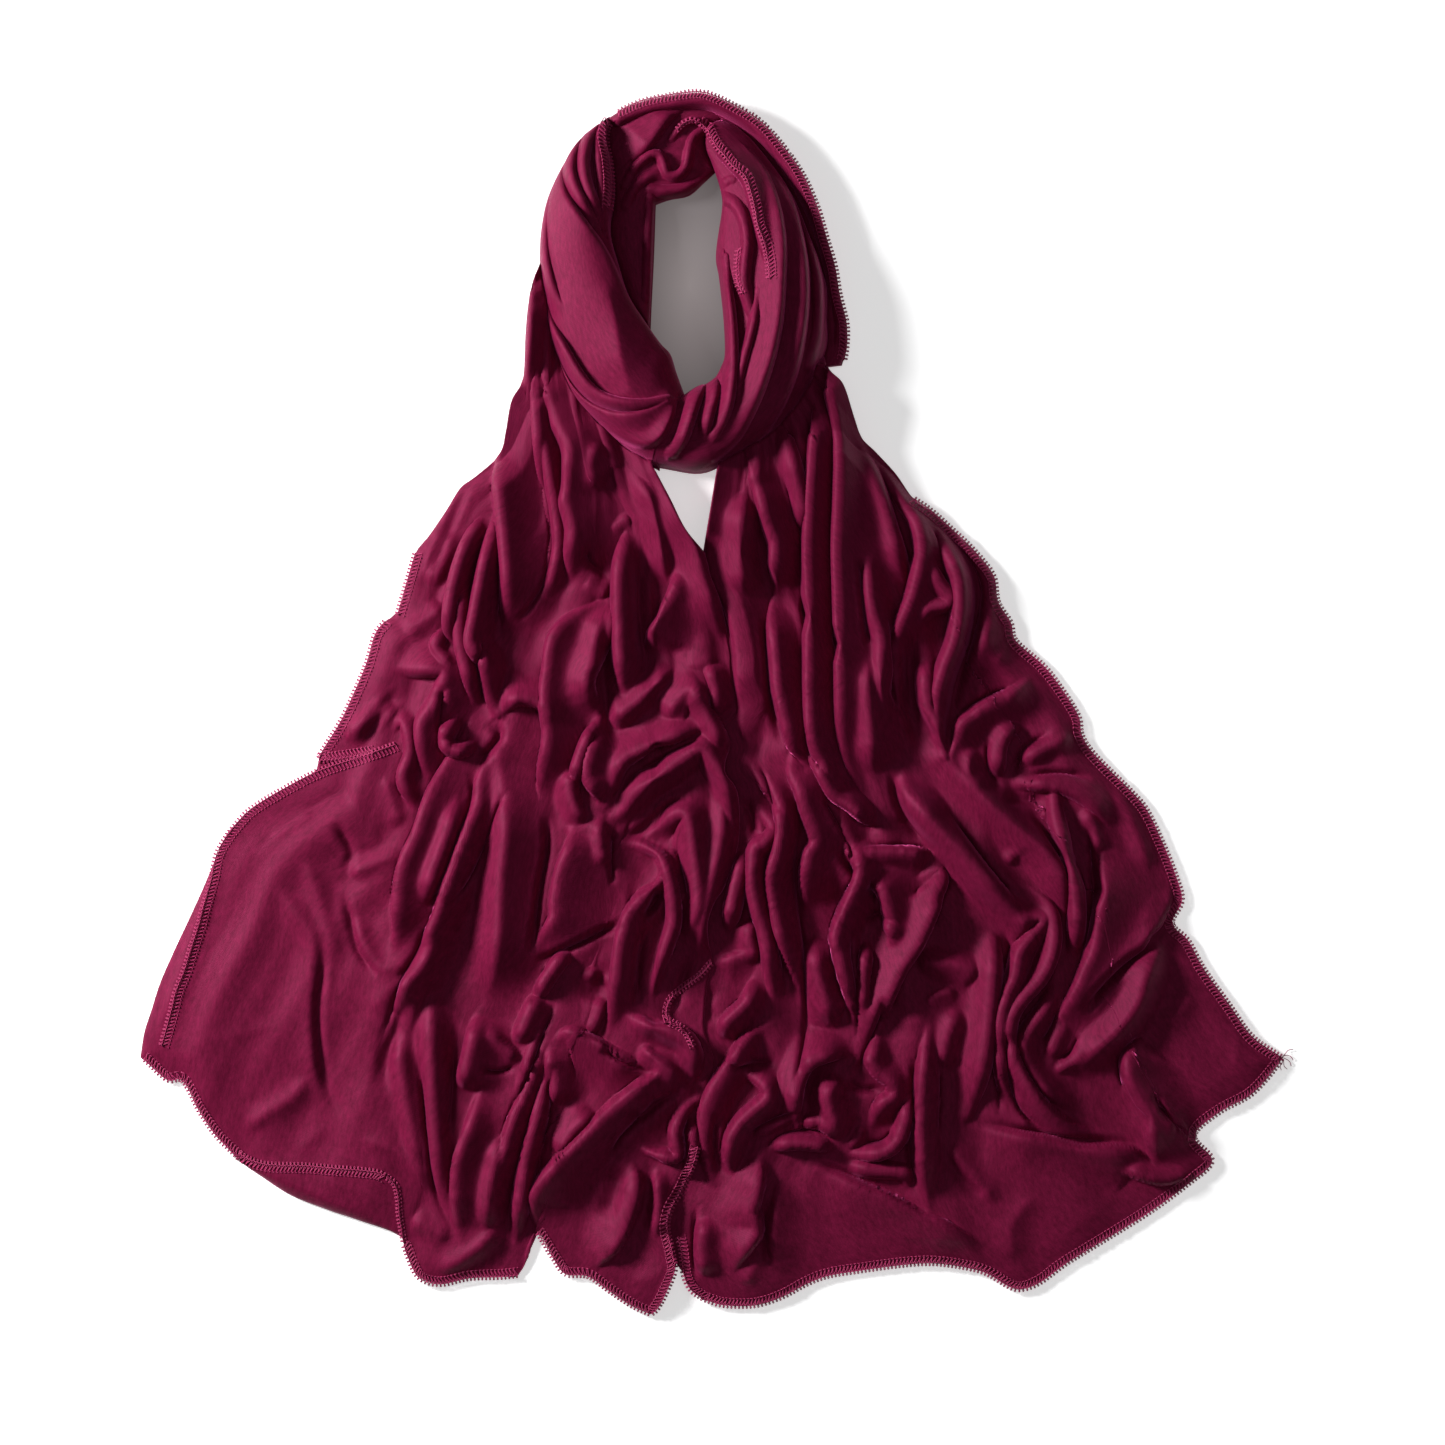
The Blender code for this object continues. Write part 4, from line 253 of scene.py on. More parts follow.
TAIL_LEFT_CREASES = (
    Crease(((540, 440), (546, 480), (551, 510), (554, 545), (546, 580), (532, 603), (517, 622)), 6, 0.7),
    Crease(((640, 545), (638, 600), (641, 640), (650, 690)), 13, 0.7),
    Crease(((613, 615), (604, 660), (607, 700), (612, 750)), 11, 0.6),
    Crease(((500, 540), (500, 580), (497, 625)), 5, 0.6),
    Crease(((492, 722), (500, 738), (478, 765)), 9, 0.8),
    Crease(((472, 772), (474, 800), (461, 832), (448, 870), (428, 908)), 7, 0.7),
    Crease(((508, 790), (487, 840), (466, 882), (447, 905)), 5, 0.5),
    Crease(((546, 815), (547, 850), (541, 885), (536, 920), (531, 952)), 8, 0.7),
    Crease(((535, 962), (562, 950), (600, 932), (626, 922)), 8, 0.8),
    Crease(((578, 985), (598, 992), (606, 960)), 12, 0.5),
    Crease(((620, 836), (642, 830), (670, 806), (690, 797)), 8, 0.7),
    Crease(((630, 777), (650, 766), (680, 750), (702, 742)), 5, 0.6),
    Crease(((612, 828), (611, 860), (613, 885)), 6, 0.7),
    Crease(((664, 888), (652, 904), (640, 917)), 8, 0.8),
    Crease(((676, 842), (683, 868), (690, 900)), 6, 0.6),
    Crease(((645, 925), (638, 960), (636, 1005)), 9, 0.6),
    Crease(((690, 955), (680, 990), (672, 1015)), 8, 0.6),
    Crease(((480, 1068), (500, 1070), (516, 1066)), 5, 0.8),
    Crease(((556, 1000), (546, 1026), (533, 1062), (520, 1096), (505, 1126)), 4, 0.6),
    Crease(((545, 1062), (535, 1106), (522, 1152), (511, 1200), (504, 1240)), 4, 0.6),
    Crease(((553, 1062), (549, 1112), (545, 1155)), 4, 0.6),
    Crease(((600, 1046), (622, 1060), (651, 1072)), 4, 0.6),
    Crease(((682, 1087), (660, 1100), (630, 1124), (615, 1142), (607, 1165)), 7, 0.8),
    Crease(((622, 1165), (613, 1195), (604, 1220)), 15, 0.6),
    Crease(((650, 1160), (648, 1195), (640, 1230)), 8, 0.5),
    Crease(((690, 1165), (680, 1187), (670, 1203)), 6, 0.7),
    Crease(((625, 1106), (655, 1118)), 10, 0.4),
    Crease(((322, 930), (323, 965), (319, 1005), (320, 1045), (328, 1085), (343, 1115)), 9, 0.6),
    Crease(((336, 822), (352, 850), (344, 872)), 8, 0.5),
    Crease(((345, 890), (352, 922), (361, 952), (380, 976)), 7, 0.5),
    Crease(((408, 985), (397, 1022), (388, 1055), (382, 1095)), 14, 0.6),
    Crease(((421, 1050), (429, 1130), (437, 1190), (456, 1232)), 7, 0.6),
    Crease(((430, 928), (420, 955), (402, 980)), 9, 0.5),
    Crease(((452, 1040), (452, 1090), (447, 1140)), 8, 0.5),
    Crease(((472, 478), (460, 505), (443, 545), (425, 590)), 8, 0.4),
    Crease(((445, 685), (440, 720), (444, 748)), 5, 0.6),
    Crease(((480, 640), (484, 680), (489, 705)), 4, 0.6),
    Crease(((404, 690), (382, 712), (362, 745)), 10, 0.4),
    Crease(((558, 430), (566, 470), (562, 510)), 5, 0.5),
    Crease(((585, 545), (592, 565), (612, 575)), 8, 0.5),
)

# %% Folds of the right tail
TAIL_RIGHT_FOLDS = (
    # Beside the loop
    Fold(((716, 475), (711, 510), (707, 545), (716, 582), (731, 607), (739, 642), (742, 690), (743, 725),
          (752, 760)), 5, 26, 11, 0.64, 0.09),
    Fold(((745, 490), (740, 540), (742, 580), (745, 610)), 20, 12, 12, 0.36),
    Fold(((755, 480), (768, 525), (776, 545), (774, 575), (776, 600)), 6, 22, 12, 0.64, 0.25),
    Fold(((776, 590), (772, 615), (776, 680), (781, 703), (788, 732), (796, 752),
          (815, 778)), 3, 24, 12, 0.25, 0.16),
    Fold(((786, 445), (800, 500), (806, 540)), 10, 8, 11, 0.64, 0.16),
    Fold(((814, 440), (809, 510), (807, 570), (807, 640), (807, 700), (812, 738), (820, 762), (840, 790),
          (878, 826)), 3, 27, 13, 0.81, 0.16),
    Fold(((830, 395), (838, 440), (838, 500), (836, 550), (838, 620), (839, 700), (842, 740), (848, 765),
          (858, 785), (870, 800)), 3, 42, 14, 0.81, 0.25),
    Fold(((846, 420), (880, 500), (893, 545), (900, 575), (905, 600)), 14, 8, 10, 0.25, 0.04),
    Fold(((892, 545), (876, 550), (867, 567), (868, 590), (873, 615), (880, 640), (879, 680), (884, 715),
          (894, 735)), 10, 14, 12, 0.09, 0.25),
    Fold(((868, 640), (866, 690), (870, 740), (874, 785)), 16, 22, 12, 0.09, 0.09),
    Fold(((865, 445), (900, 500), (915, 522), (921, 548), (918, 572), (910, 600), (899, 628), (893, 655),
          (893, 690)), 5, 20, 12, 0.25, 0.16),
    Fold(((921, 548), (935, 580), (948, 602), (925, 612), (908, 640)), 14, 5, 10, 0.25, 0.04),
    Fold(((912, 505), (932, 528), (947, 555), (957, 582), (958, 612), (953, 642), (943, 668), (936, 695),
          (936, 720), (943, 756)), 6, 10, 12, 0.16, 0.49),
    Fold(((925, 512), (950, 533), (975, 560), (986, 582), (987, 605), (981, 635), (970, 668), (958, 698)),
         5, 34, 9, 0.25, 0.16),
    Fold(((928, 650), (925, 680), (929, 710), (937, 732), (944, 756)), 8, 8, 10, 0.04, 0.49),
    Fold(((1036, 672), (1010, 695), (985, 706), (965, 719), (956, 737), (950, 755)), 5, 20, 10, 0.09, 0.64),
    Fold(((1022, 724), (1005, 735), (998, 752), (998, 782)), 14, 5, 9, 0.25, 0.09),
    Fold(((1080, 735), (1050, 745), (1030, 757), (1017, 770)), 12, 10, 8, 0.25, 0.09),
    Fold(((943, 757), (960, 775), (985, 800), (1020, 832), (1042, 850), (1060, 880), (1066, 905),
          (1062, 940)),
         18, 14, 11, 0.64, 0.09),
    Fold(((970, 740), (968, 775), (990, 795)), 14, 14, 9),
    Fold(((1002, 785), (1030, 784), (1057, 787), (1080, 797), (1100, 815),
          (1113, 838)), 5, 22, 8, 0.16, 0.16),
    Fold(((1053, 788), (1054, 812), (1060, 842), (1070, 872), (1074, 900), (1074, 930), (1070, 952),
          (1062, 966)),
         6, 8, 12, 0.49, 0.25),
    Fold(((1082, 800), (1092, 830), (1100, 860)), 12, 10, 8),
    Fold(((1100, 835), (1103, 870), (1101, 900), (1095, 930), (1086, 960), (1075, 988), (1060, 1015),
          (1048, 1042)), 4, 40, 11, 0.25, 0.25),
    Fold(((1168, 880), (1165, 905), (1140, 940), (1110, 968), (1085, 995),
          (1070, 1022)), 30, 6, 8, 0.36, 0.16),
    Fold(((1168, 930), (1155, 950), (1143, 975), (1135, 1000), (1115, 1028), (1090, 1050), (1060, 1080)),
         20, 14, 11, 0.25, 0.16),
    Fold(((893, 770), (905, 790), (930, 820), (957, 848), (980, 875), (1003, 900),
          (1022, 920)), 14, 14, 13, 0.36, 0.64),
    Fold(((1022, 920), (1042, 919), (1030, 935), (1018, 952), (1014, 975), (1004, 997), (999, 1020),
          (997, 1050), (1003, 1080), (1018, 1122)), 5, 10, 11, 0.64, 0.09),
    Fold(((1004, 880), (1025, 886), (1045, 901), (1052, 920), (1051, 948), (1040, 975), (1018, 1000),
          (1008, 1020), (1009, 1045), (1024, 1080), (1045, 1108), (1075, 1128),
          (1120, 1135)), 10, 6, 11, 0.25, 0.16),
    Fold(((1000, 868), (1018, 848), (1036, 842)), 8, 10, 9),
    Fold(((1052, 962), (1053, 985), (1045, 1005), (1022, 1042), (1035, 1075), (1060, 1100), (1090, 1110)),
         7, 12, 9, 0.16, 0.09),
    Fold(((1068, 1015), (1057, 1035), (1046, 1060)), 8, 12, 9, 0.16, 0.16),
    Fold(((1085, 1035), (1078, 1055), (1060, 1066), (1045, 1070)), 5, 7, 8),
    # The middle of the right tail
    Fold(((745, 755), (762, 782), (775, 803), (781, 823), (778, 848), (772, 870), (771, 893), (777, 925),
          (787, 952), (797, 982), (802, 1012)), 3, 14, 12, 0.16, 0.16),
    Fold(((750, 790), (765, 815), (774, 828), (765, 842), (754, 850), (753, 880), (757, 905), (766, 940),
          (772, 985), (773, 1020)), 6, 10, 11, 0.16, 0.16),
    Fold(((745, 842), (741, 862), (735, 885), (731, 905), (728, 935)), 5, 9, 10, 0.16, 0.16),
    Fold(((750, 915), (750, 940), (757, 965)), 10, 10, 11, 0.25),
    Fold(((714, 964), (740, 955), (757, 948)), 18, 4, 9, 0.36, 0.25),
    Fold(((756, 975), (748, 1000), (728, 1020), (719, 1040)), 5, 14, 10, 0.25, 0.16),
    Fold(((793, 745), (792, 772), (800, 790), (806, 812), (815, 840), (808, 855), (806, 880), (808, 920)),
         3, 28, 12, 0.36, 0.09),
    Fold(((803, 745), (818, 768), (832, 793), (850, 805), (868, 820), (884, 828)), 4, 10, 12, 0.25, 0.16),
    Fold(((825, 845), (836, 862), (850, 880), (858, 870)), 14, 6, 9, 0.16, 0.09),
    Fold(((818, 930), (816, 960), (822, 990), (832, 1015), (850, 1020)), 12, 20, 10, 0.09, 0.16),
    Fold(((841, 803), (843, 830), (847, 850), (860, 868), (851, 895), (842, 915), (836, 933), (838, 955),
          (845, 982), (853, 1010), (857, 1045)), 3, 14, 13, 0.25, 0.25),
    Fold(((843, 850), (880, 852), (915, 851), (940, 857)), 14, 4, 9, 0.25, 0.25),
    Fold(((860, 870), (878, 885), (887, 905), (889, 925), (893, 938), (878, 950)), 3, 24, 11, 0.25, 0.16),
    Fold(((922, 875), (938, 869), (943, 878), (930, 913), (915, 945), (900, 968), (886, 1000), (872, 1040),
          (856, 1068)), 24, 4, 12, 0.25, 0.25),
    Fold(((847, 908), (865, 903), (880, 900)), 10, 5, 9),
    Fold(((868, 935), (864, 960), (862, 990), (866, 1020)), 5, 7, 10, 0.16, 0.16),
    Fold(((905, 966), (940, 962), (972, 972), (984, 990)), 14, 12, 8),
    Fold(((918, 1006), (938, 993), (960, 986)), 18, 4, 8, 0.16, 0.25),
    Fold(((882, 1015), (872, 1035), (870, 1055), (877, 1070), (890, 1080), (893, 1093), (880, 1103),
          (872, 1122), (871, 1136)), 5, 14, 10, 0.25, 0.09),
    Fold(((900, 1020), (915, 1022), (930, 1010)), 10, 16, 8, 0.09, 0.16),
    Fold(((905, 1078), (906, 1105), (901, 1130), (890, 1146), (868, 1153),
          (845, 1152)), 8, 6, 10, 0.09, 0.25),
    Fold(((930, 1010), (924, 1050), (921, 1090), (920, 1130), (923, 1170),
          (928, 1212)), 5, 12, 11, 0.25, 0.36),
    Fold(((990, 915), (991, 960), (988, 1005), (984, 1040), (978, 1075),
          (966, 1112)), 14, 9, 11, 0.09, 0.36),
    Fold(((960, 1000), (945, 1040), (940, 1075)), 14, 18, 7),
    # Down to the hem
    Fold(((775, 1020), (750, 1034), (735, 1055), (720, 1076), (708, 1097), (702, 1122), (703, 1148),
          (712, 1183)), 3, 14, 12, 0.25, 0.25),
    Fold(((730, 1082), (747, 1074), (763, 1081), (768, 1095), (752, 1110), (740, 1122), (731, 1140),
          (732, 1165), (748, 1180)), 6, 10, 11, 0.16, 0.16),
    Fold(((748, 1136), (770, 1126), (796, 1113)), 5, 4, 9, 0.25, 0.36),
    Fold(((757, 1140), (760, 1165), (756, 1192), (752, 1208), (758, 1226), (745, 1248), (726, 1280)),
         22, 5, 10, 0.16, 0.16),
    Fold(((708, 1210), (703, 1245), (706, 1280)), 8, 20, 8, 0.16, 0.16),
    Fold(((855, 1052), (825, 1054), (806, 1064), (797, 1085), (795, 1105),
          (798, 1124)), 16, 4, 12, 0.25, 0.36),
    Fold(((848, 1078), (828, 1090), (832, 1115), (842, 1140)), 12, 16, 10, 0.16, 0.25),
    Fold(((798, 1124), (820, 1120), (838, 1140)), 6, 8, 10, 0.25, 0.25),
    Fold(((765, 1148), (790, 1142), (815, 1143), (838, 1149)), 5, 8, 9, 0.16, 0.25),
    Fold(((862, 1120), (858, 1135), (845, 1150)), 8, 5, 9, 0.16, 0.25),
    Fold(((786, 1060), (782, 1090), (776, 1110)), 8, 8, 9, 0.25, 0.09),
    Fold(((806, 1155), (840, 1174), (870, 1189), (900, 1203), (940, 1221), (972, 1241), (995, 1258)),
         30, 4, 8, 0.25, 0.09),
    Fold(((840, 1160), (870, 1168), (905, 1172), (905, 1195)), 8, 8, 7, 0.09, 0.09),
    Fold(((780, 1165), (776, 1205), (772, 1245), (779, 1278)), 4, 26, 6, 0.16, 0.25),
    Fold(((764, 1230), (755, 1262), (740, 1290)), 12, 12, 6, 0.16, 0.16),
    Fold(((975, 1127), (1020, 1135), (1060, 1140), (1100, 1148), (1135, 1153),
          (1158, 1176)), 24, 4, 8, 0.25, 0.16),
    Fold(((945, 1130), (960, 1160), (985, 1190), (1000, 1215)), 16, 14, 5),
    Fold(((1143, 1026), (1130, 1040), (1125, 1062), (1130, 1082), (1143, 1106), (1150, 1130), (1156, 1172)),
         4, 30, 11, 0.25, 0.25),
    Fold(((1145, 1085), (1165, 1110), (1182, 1130), (1200, 1150)), 22, 4, 9, 0.16, 0.36),
    Fold(((1110, 1162), (1135, 1171), (1160, 1178), (1185, 1174), (1203, 1164)), 5, 12, 7, 0.16, 0.16),
    Fold(((1196, 990), (1180, 1010), (1160, 1030)), 14, 16, 5),
    Fold(((1228, 1015), (1236, 1045), (1232, 1075)), 8, 10, 4),
    Fold(((1045, 1180), (1010, 1225), (1015, 1275)), 20, 20, 4, 0.09, 0.16),
    Fold(((1095, 770), (1120, 800), (1142, 850), (1150, 890)), 14, 16, 5),
    Fold(((1000, 600), (1003, 640), (990, 680)), 12, 14, 5),
)

TAIL_RIGHT_CREASES = (
    Crease(((753, 485), (761, 516), (769, 546), (771, 572), (774, 602)), 4, 0.6),
    Crease(((783, 468), (794, 512), (801, 548), (804, 600), (804, 700), (808, 742), (822, 768)), 5, 0.7),
    Crease(((832, 470), (831, 540), (833, 600), (836, 700), (838, 742)), 4, 0.6),
    Crease(((764, 620), (768, 660), (772, 702), (786, 748)), 9, 0.6),
    Crease(((881, 480), (895, 525), (909, 565), (906, 598)), 6, 0.6),
    Crease(((858, 560), (862, 600), (867, 645)), 8, 0.5),
    Crease(((886, 620), (889, 660), (893, 700), (900, 713)), 4, 0.6),
    Crease(((907, 632), (910, 680), (913, 722), (928, 752)), 13, 0.8),
    Crease(((932, 533), (942, 565), (951, 597)), 4, 0.8),
    Crease(((973, 560), (977, 600), (971, 640), (956, 682), (949, 720), (949, 745)), 12, 0.7),
    Crease(((1010, 688), (978, 703), (955, 722)), 7, 0.6),
    Crease(((988, 738), (988, 766), (998, 790)), 6, 0.6),
    Crease(((1050, 735), (1025, 748), (1010, 775)), 7, 0.6),
    Crease(((1020, 777), (1060, 773), (1090, 780)), 7, 0.5),
    Crease(((1002, 794), (1030, 802), (1046, 795)), 9, 0.6),
    Crease(((1028, 810), (1049, 838), (1063, 870), (1068, 902), (1068, 935)), 5, 0.7),
    Crease(((1086, 822), (1091, 860), (1093, 900), (1088, 940), (1079, 968)), 6, 0.8),
    Crease(((1152, 943), (1122, 964), (1096, 990), (1081, 1012)), 10, 0.6),
    Crease(((943, 808), (965, 838), (986, 866), (1006, 890), (1022, 906)), 7, 0.6),
    Crease(((893, 762), (898, 800), (918, 832), (938, 852)), 10, 0.7),
    Crease(((1001, 928), (1010, 950), (1003, 980), (998, 1002)), 6, 0.7),
    Crease(((994, 1020), (995, 1065), (1000, 1115)), 4, 0.6),
    Crease(((1004, 1030), (1007, 1075), (1022, 1112), (1050, 1132)), 5, 0.7),
    Crease(((1056, 1010), (1046, 1032), (1036, 1042)), 6, 0.6),
    Crease(((1078, 1035), (1068, 1052), (1050, 1056)), 5, 0.5),
    Crease(((980, 1121), (1030, 1131), (1080, 1140), (1142, 1144)), 7, 0.7),
    Crease(((1147, 1028), (1124, 1048), (1120, 1068), (1126, 1090)), 6, 0.7),
    Crease(((1148, 1092), (1170, 1120), (1186, 1134)), 4, 0.6),
    Crease(((743, 798), (752, 818), (756, 840)), 8, 0.7),
    Crease(((760, 768), (773, 797), (780, 815)), 4, 0.6),
    Crease(((748, 870), (744, 898), (738, 925)), 5, 0.7),
    Crease(((767, 872), (769, 902), (775, 940), (786, 988)), 5, 0.6),
    Crease(((797, 828), (795, 870), (798, 912), (804, 960), (807, 1002), (804, 1045), (795, 1092)), 7, 0.8),
    Crease(((822, 800), (840, 830), (857, 863)), 4, 0.6),
    Crease(((843, 806), (858, 818), (880, 830)), 5, 0.5),
    Crease(((862, 882), (880, 896)), 8, 0.7),
    Crease(((862, 922), (880, 912), (888, 925)), 7, 0.7),
    Crease(((848, 930), (849, 962), (856, 1002), (858, 1040)), 4, 0.6),
    Crease(((872, 845), (905, 847), (935, 850)), 5, 0.7),
    Crease(((898, 812), (920, 838)), 10, 0.5),
    Crease(((944, 862), (947, 882), (935, 905)), 6, 0.7),
    Crease(((886, 995), (873, 1030), (862, 1062), (850, 1072)), 6, 0.7),
    Crease(((845, 1082), (862, 1088), (882, 1088)), 7, 0.7),
    Crease(((860, 1140), (880, 1143), (896, 1130)), 6, 0.6),
    Crease(((812, 1158), (845, 1174), (885, 1192)), 6, 0.6),
    Crease(((913, 1055), (913, 1110), (909, 1145), (915, 1195)), 6, 0.6),
    Crease(((938, 1055), (938, 1100), (936, 1145)), 5, 0.5),
    Crease(((728, 1066), (752, 1062), (776, 1062)), 7, 0.6),
    Crease(((716, 1110), (713, 1145), (721, 1176)), 6, 0.6),
    Crease(((748, 1129), (770, 1119), (796, 1109)), 4, 0.6),
    Crease(((763, 1147), (776, 1138), (798, 1129), (820, 1129), (834, 1140)), 4, 0.7),
    Crease(((765, 1195), (763, 1225), (769, 1265)), 8, 0.5),
    Crease(((697, 1200), (694, 1240), (696, 1280)), 5, 0.6),
    Crease(((715, 985), (708, 1005), (715, 1025)), 9, 0.7),
    Crease(((940, 1150), (965, 1180), (990, 1205)), 10, 0.4),
)

# %% Folds of the loop
LOOP_LEFT_FOLDS = (
    # Pleats that fan out from the top
    Fold(((603, 133), (600, 146), (601, 165), (604, 195), (606, 222), (610, 240)), 5, 6, 5, 0.7, 0.3),
    Fold(((598, 131), (591, 143), (587, 158), (586, 175), (590, 194), (598, 213),
          (605, 230)), 8, 4, 6, 0.6, 0.4),
    Fold(((590, 134), (579, 150), (574, 166), (574, 182), (580, 200), (590, 218),
          (598, 232)), 9, 4, 6.5, 0.5, 0.4),
    Fold(((566, 166), (562, 182), (566, 202), (578, 222), (594, 244), (609, 266), (622, 290), (636, 312),
          (650, 334)), 22, 4, 7, 0.4, 0.5),
    Fold(((563, 168), (553, 188), (547, 210), (545, 240), (547, 268), (554, 296),
          (566, 326)), 5, 6, 5, 0.6, 0.0),
    # The flap over the hollow at the bottom of the neck hole
    Fold(((600, 268), (609, 296), (617, 328), (623, 362), (632, 396)), 14, 20, 5, 0.0, 0.6),
    # Pleats that swing round to the bottom
    Fold(((543, 300), (552, 328), (566, 354), (580, 378), (596, 397), (618, 407), (645, 409), (670, 404)),
         9, 4, 7, 0.5, 0.5),
    Fold(((554, 346), (561, 369), (573, 391), (590, 408), (612, 419), (635, 421), (655, 415), (668, 408)),
         13, 3, 6, 0.5, 0.5),
    Fold(((590, 414), (610, 431), (630, 443), (650, 447), (662, 440), (670, 425),
          (675, 410)), 5, 12, 4.5, 0.4, 0.7),
)
LOOP_RIGHT_FOLDS = (
    # The free edge of its upper layer, and what shows below it
    Fold(((700, 128), (712, 142), (722, 160), (734, 174), (746, 190), (753, 215), (760, 245), (767, 275),
          (768, 300)), 3, 20, 7, 0.7, 0.2),
    Fold(((722, 190), (731, 185), (739, 188)), 5, 5, 5),
    Fold(((724, 204), (735, 212), (743, 228), (746, 250), (744, 270), (743, 290), (748, 312), (755, 332)),
         4, 8, 6, 0.4, 0.3),
    # Long pleats from the crown round to the bottom
    Fold(((752, 133), (776, 160), (795, 195), (808, 230), (816, 265), (819, 300), (818, 335), (810, 370)),
         8, 4, 6, 0.4, 0.4),
    Fold(((748, 140), (768, 160), (784, 190), (795, 222), (801, 260), (803, 300), (800, 335), (793, 370),
          (782, 402), (766, 432)), 13, 4, 8, 0.4, 0.4),
    Fold(((748, 158), (762, 176), (772, 200), (778, 225), (781, 255), (780, 290), (778, 320), (773, 350),
          (764, 382), (752, 412), (736, 440), (714, 461)), 15, 4, 9, 0.4, 0.5),
    Fold(((757, 298), (754, 325), (748, 350), (742, 372), (738, 395), (737, 415)), 4, 4, 6, 0.4, 0.3),
    Fold(((725, 262), (727, 290), (731, 325), (733, 360), (732, 390), (727, 418),
          (716, 442)), 9, 4, 9, 0.2, 0.4),
    Fold(((714, 384), (715, 400), (710, 420), (705, 443)), 8, 4, 7, 0.6, 0.3),
    Fold(((702, 391), (695, 411), (689, 431), (683, 446), (674, 457)), 9, 4, 7, 0.6, 0.4),
)
LOOP_BACK_FOLDS = (
    # The roll at the crown and the layer below it
    Fold(((619, 123), (640, 114), (660, 109), (690, 105), (712, 107), (738, 119), (760, 135), (782, 160),
          (802, 192), (818, 226), (828, 258), (836, 295), (842, 330)), 6, 16, 8, 0.7, 0.3),
    Fold(((677, 113), (664, 126), (650, 146), (634, 160)), 22, 5, 6, 0.3, 0.3),
    # What hangs into the neck hole
    Fold(((702, 133), (693, 141), (689, 154), (686, 169), (678, 178), (668, 177), (664, 166), (659, 158),
          (649, 159), (635, 171), (625, 188)), 4, 5, 4, 0.6, 0.3),
    Fold(((672, 142), (678, 134), (685, 127), (693, 124), (702, 125)), 3, 4, 4, 0.5, 0.7),
    Fold(((626, 208), (636, 190), (650, 179), (664, 178)), 5, 5, 3.5, 0.4, 0.3),
    Fold(((652, 192), (668, 194), (684, 191), (700, 184)), 6, 6, 4, 0.6, 0.6),
    Fold(((652, 200), (650, 235), (649, 270), (648, 300)), 6, 3, 3, 0.5, 0.4),
    Fold(((836, 285), (840, 315), (838, 350)), 4, 6, 3),
)

# %% [markdown]
# A stretch is the patch between four sides, each one or more edge curves end to end. Its right
# and left are its long sides, from its first end to its last, and its first and last cross it
# from the right side to the left. The crown holds a band's height in metres at the first end,
# the middle and the last end, and the rims are the shares of it that are left at the right and
# the left side.

# %% Stretches
Band = namedtuple("Band", "name first last right left crown rims folds")
BANDS = (
    Band("loop_back", ((STRIP_OUTER[0], HOLE_LEFT[0]),), ((CROWN[-1], RIGHT_UNDER_WEDGE[0]),),
         (STRIP_OUTER, CROWN), (HOLE_LEFT, HOLE_TOP, RIGHT_TOP[::-1], RIGHT_UNDER_WEDGE[::-1]),
         (0.011, 0.5 * BACK_BAND_HEIGHT, 0.005), (0.5, 0.55), LOOP_BACK_FOLDS),
    Band("loop_left", ((LEFT_RIM[0], LEFT_INNER[0]),), (BOTTOM_FOLD,),
         (LEFT_RIM, LEFT_SEAM), (LEFT_INNER,),
         (0.015, FRONT_BAND_HEIGHT, FRONT_BAND_HEIGHT), (0.35, 0.7), LOOP_LEFT_FOLDS),
    Band("loop_right", (RIGHT_TOP[::-1],), (BOTTOM_FOLD[::-1],),
         (HOLE_RIGHT,), (RIGHT_UNDER_WEDGE[::-1], RIGHT_SEAM[::-1]),
         (0.014, FRONT_BAND_HEIGHT, FRONT_BAND_HEIGHT), (0.4, 0.35), LOOP_RIGHT_FOLDS),
)
# The free edges of a tail lie on the table. Its under edge is where the other tail lies over it.
Tail = namedtuple("Tail", "name first last right left free under folds creases")
TAILS = (
    Tail("tail_left", (LEFT_SEAM,), (TAIL_LEFT_HEM,), (TAIL_LEFT_RIM,),
         (GAP_LEFT, CENTRE_SEAM, CORNER_LEFT),
         (TAIL_LEFT_RIM, TAIL_LEFT_HEM), None, TAIL_LEFT_FOLDS, TAIL_LEFT_CREASES),
    Tail("tail_right", (TAIL_RIGHT_TOP,), (TAIL_RIGHT_HEM,),
         (GAP_RIGHT, CENTRE_SEAM, CORNER_RIGHT), (TAIL_RIGHT_RIM,),
         (TAIL_RIGHT_RIM, TAIL_RIGHT_HEM), CENTRE_SEAM, TAIL_RIGHT_FOLDS, TAIL_RIGHT_CREASES),
)
for stretch in BANDS + TAILS:
    print(f"{stretch.name}: {len(stretch.folds)} folds")

# %% [markdown]
# ## Curves and patches
#
# Each stretch of cloth is a patch of the chart between four edge curves. A Catmull-Rom curve
# goes through the few points of an edge, and a Coons patch fills the space between the four
# sides. Blender's own curve tools could draw the edges too, but here the cloth's points are
# needed as one regular grid, so that folds can be added to it as numbers.

# %% Smooth curves
CURVE_STEPS = 8             # points worked out along each span of a curve


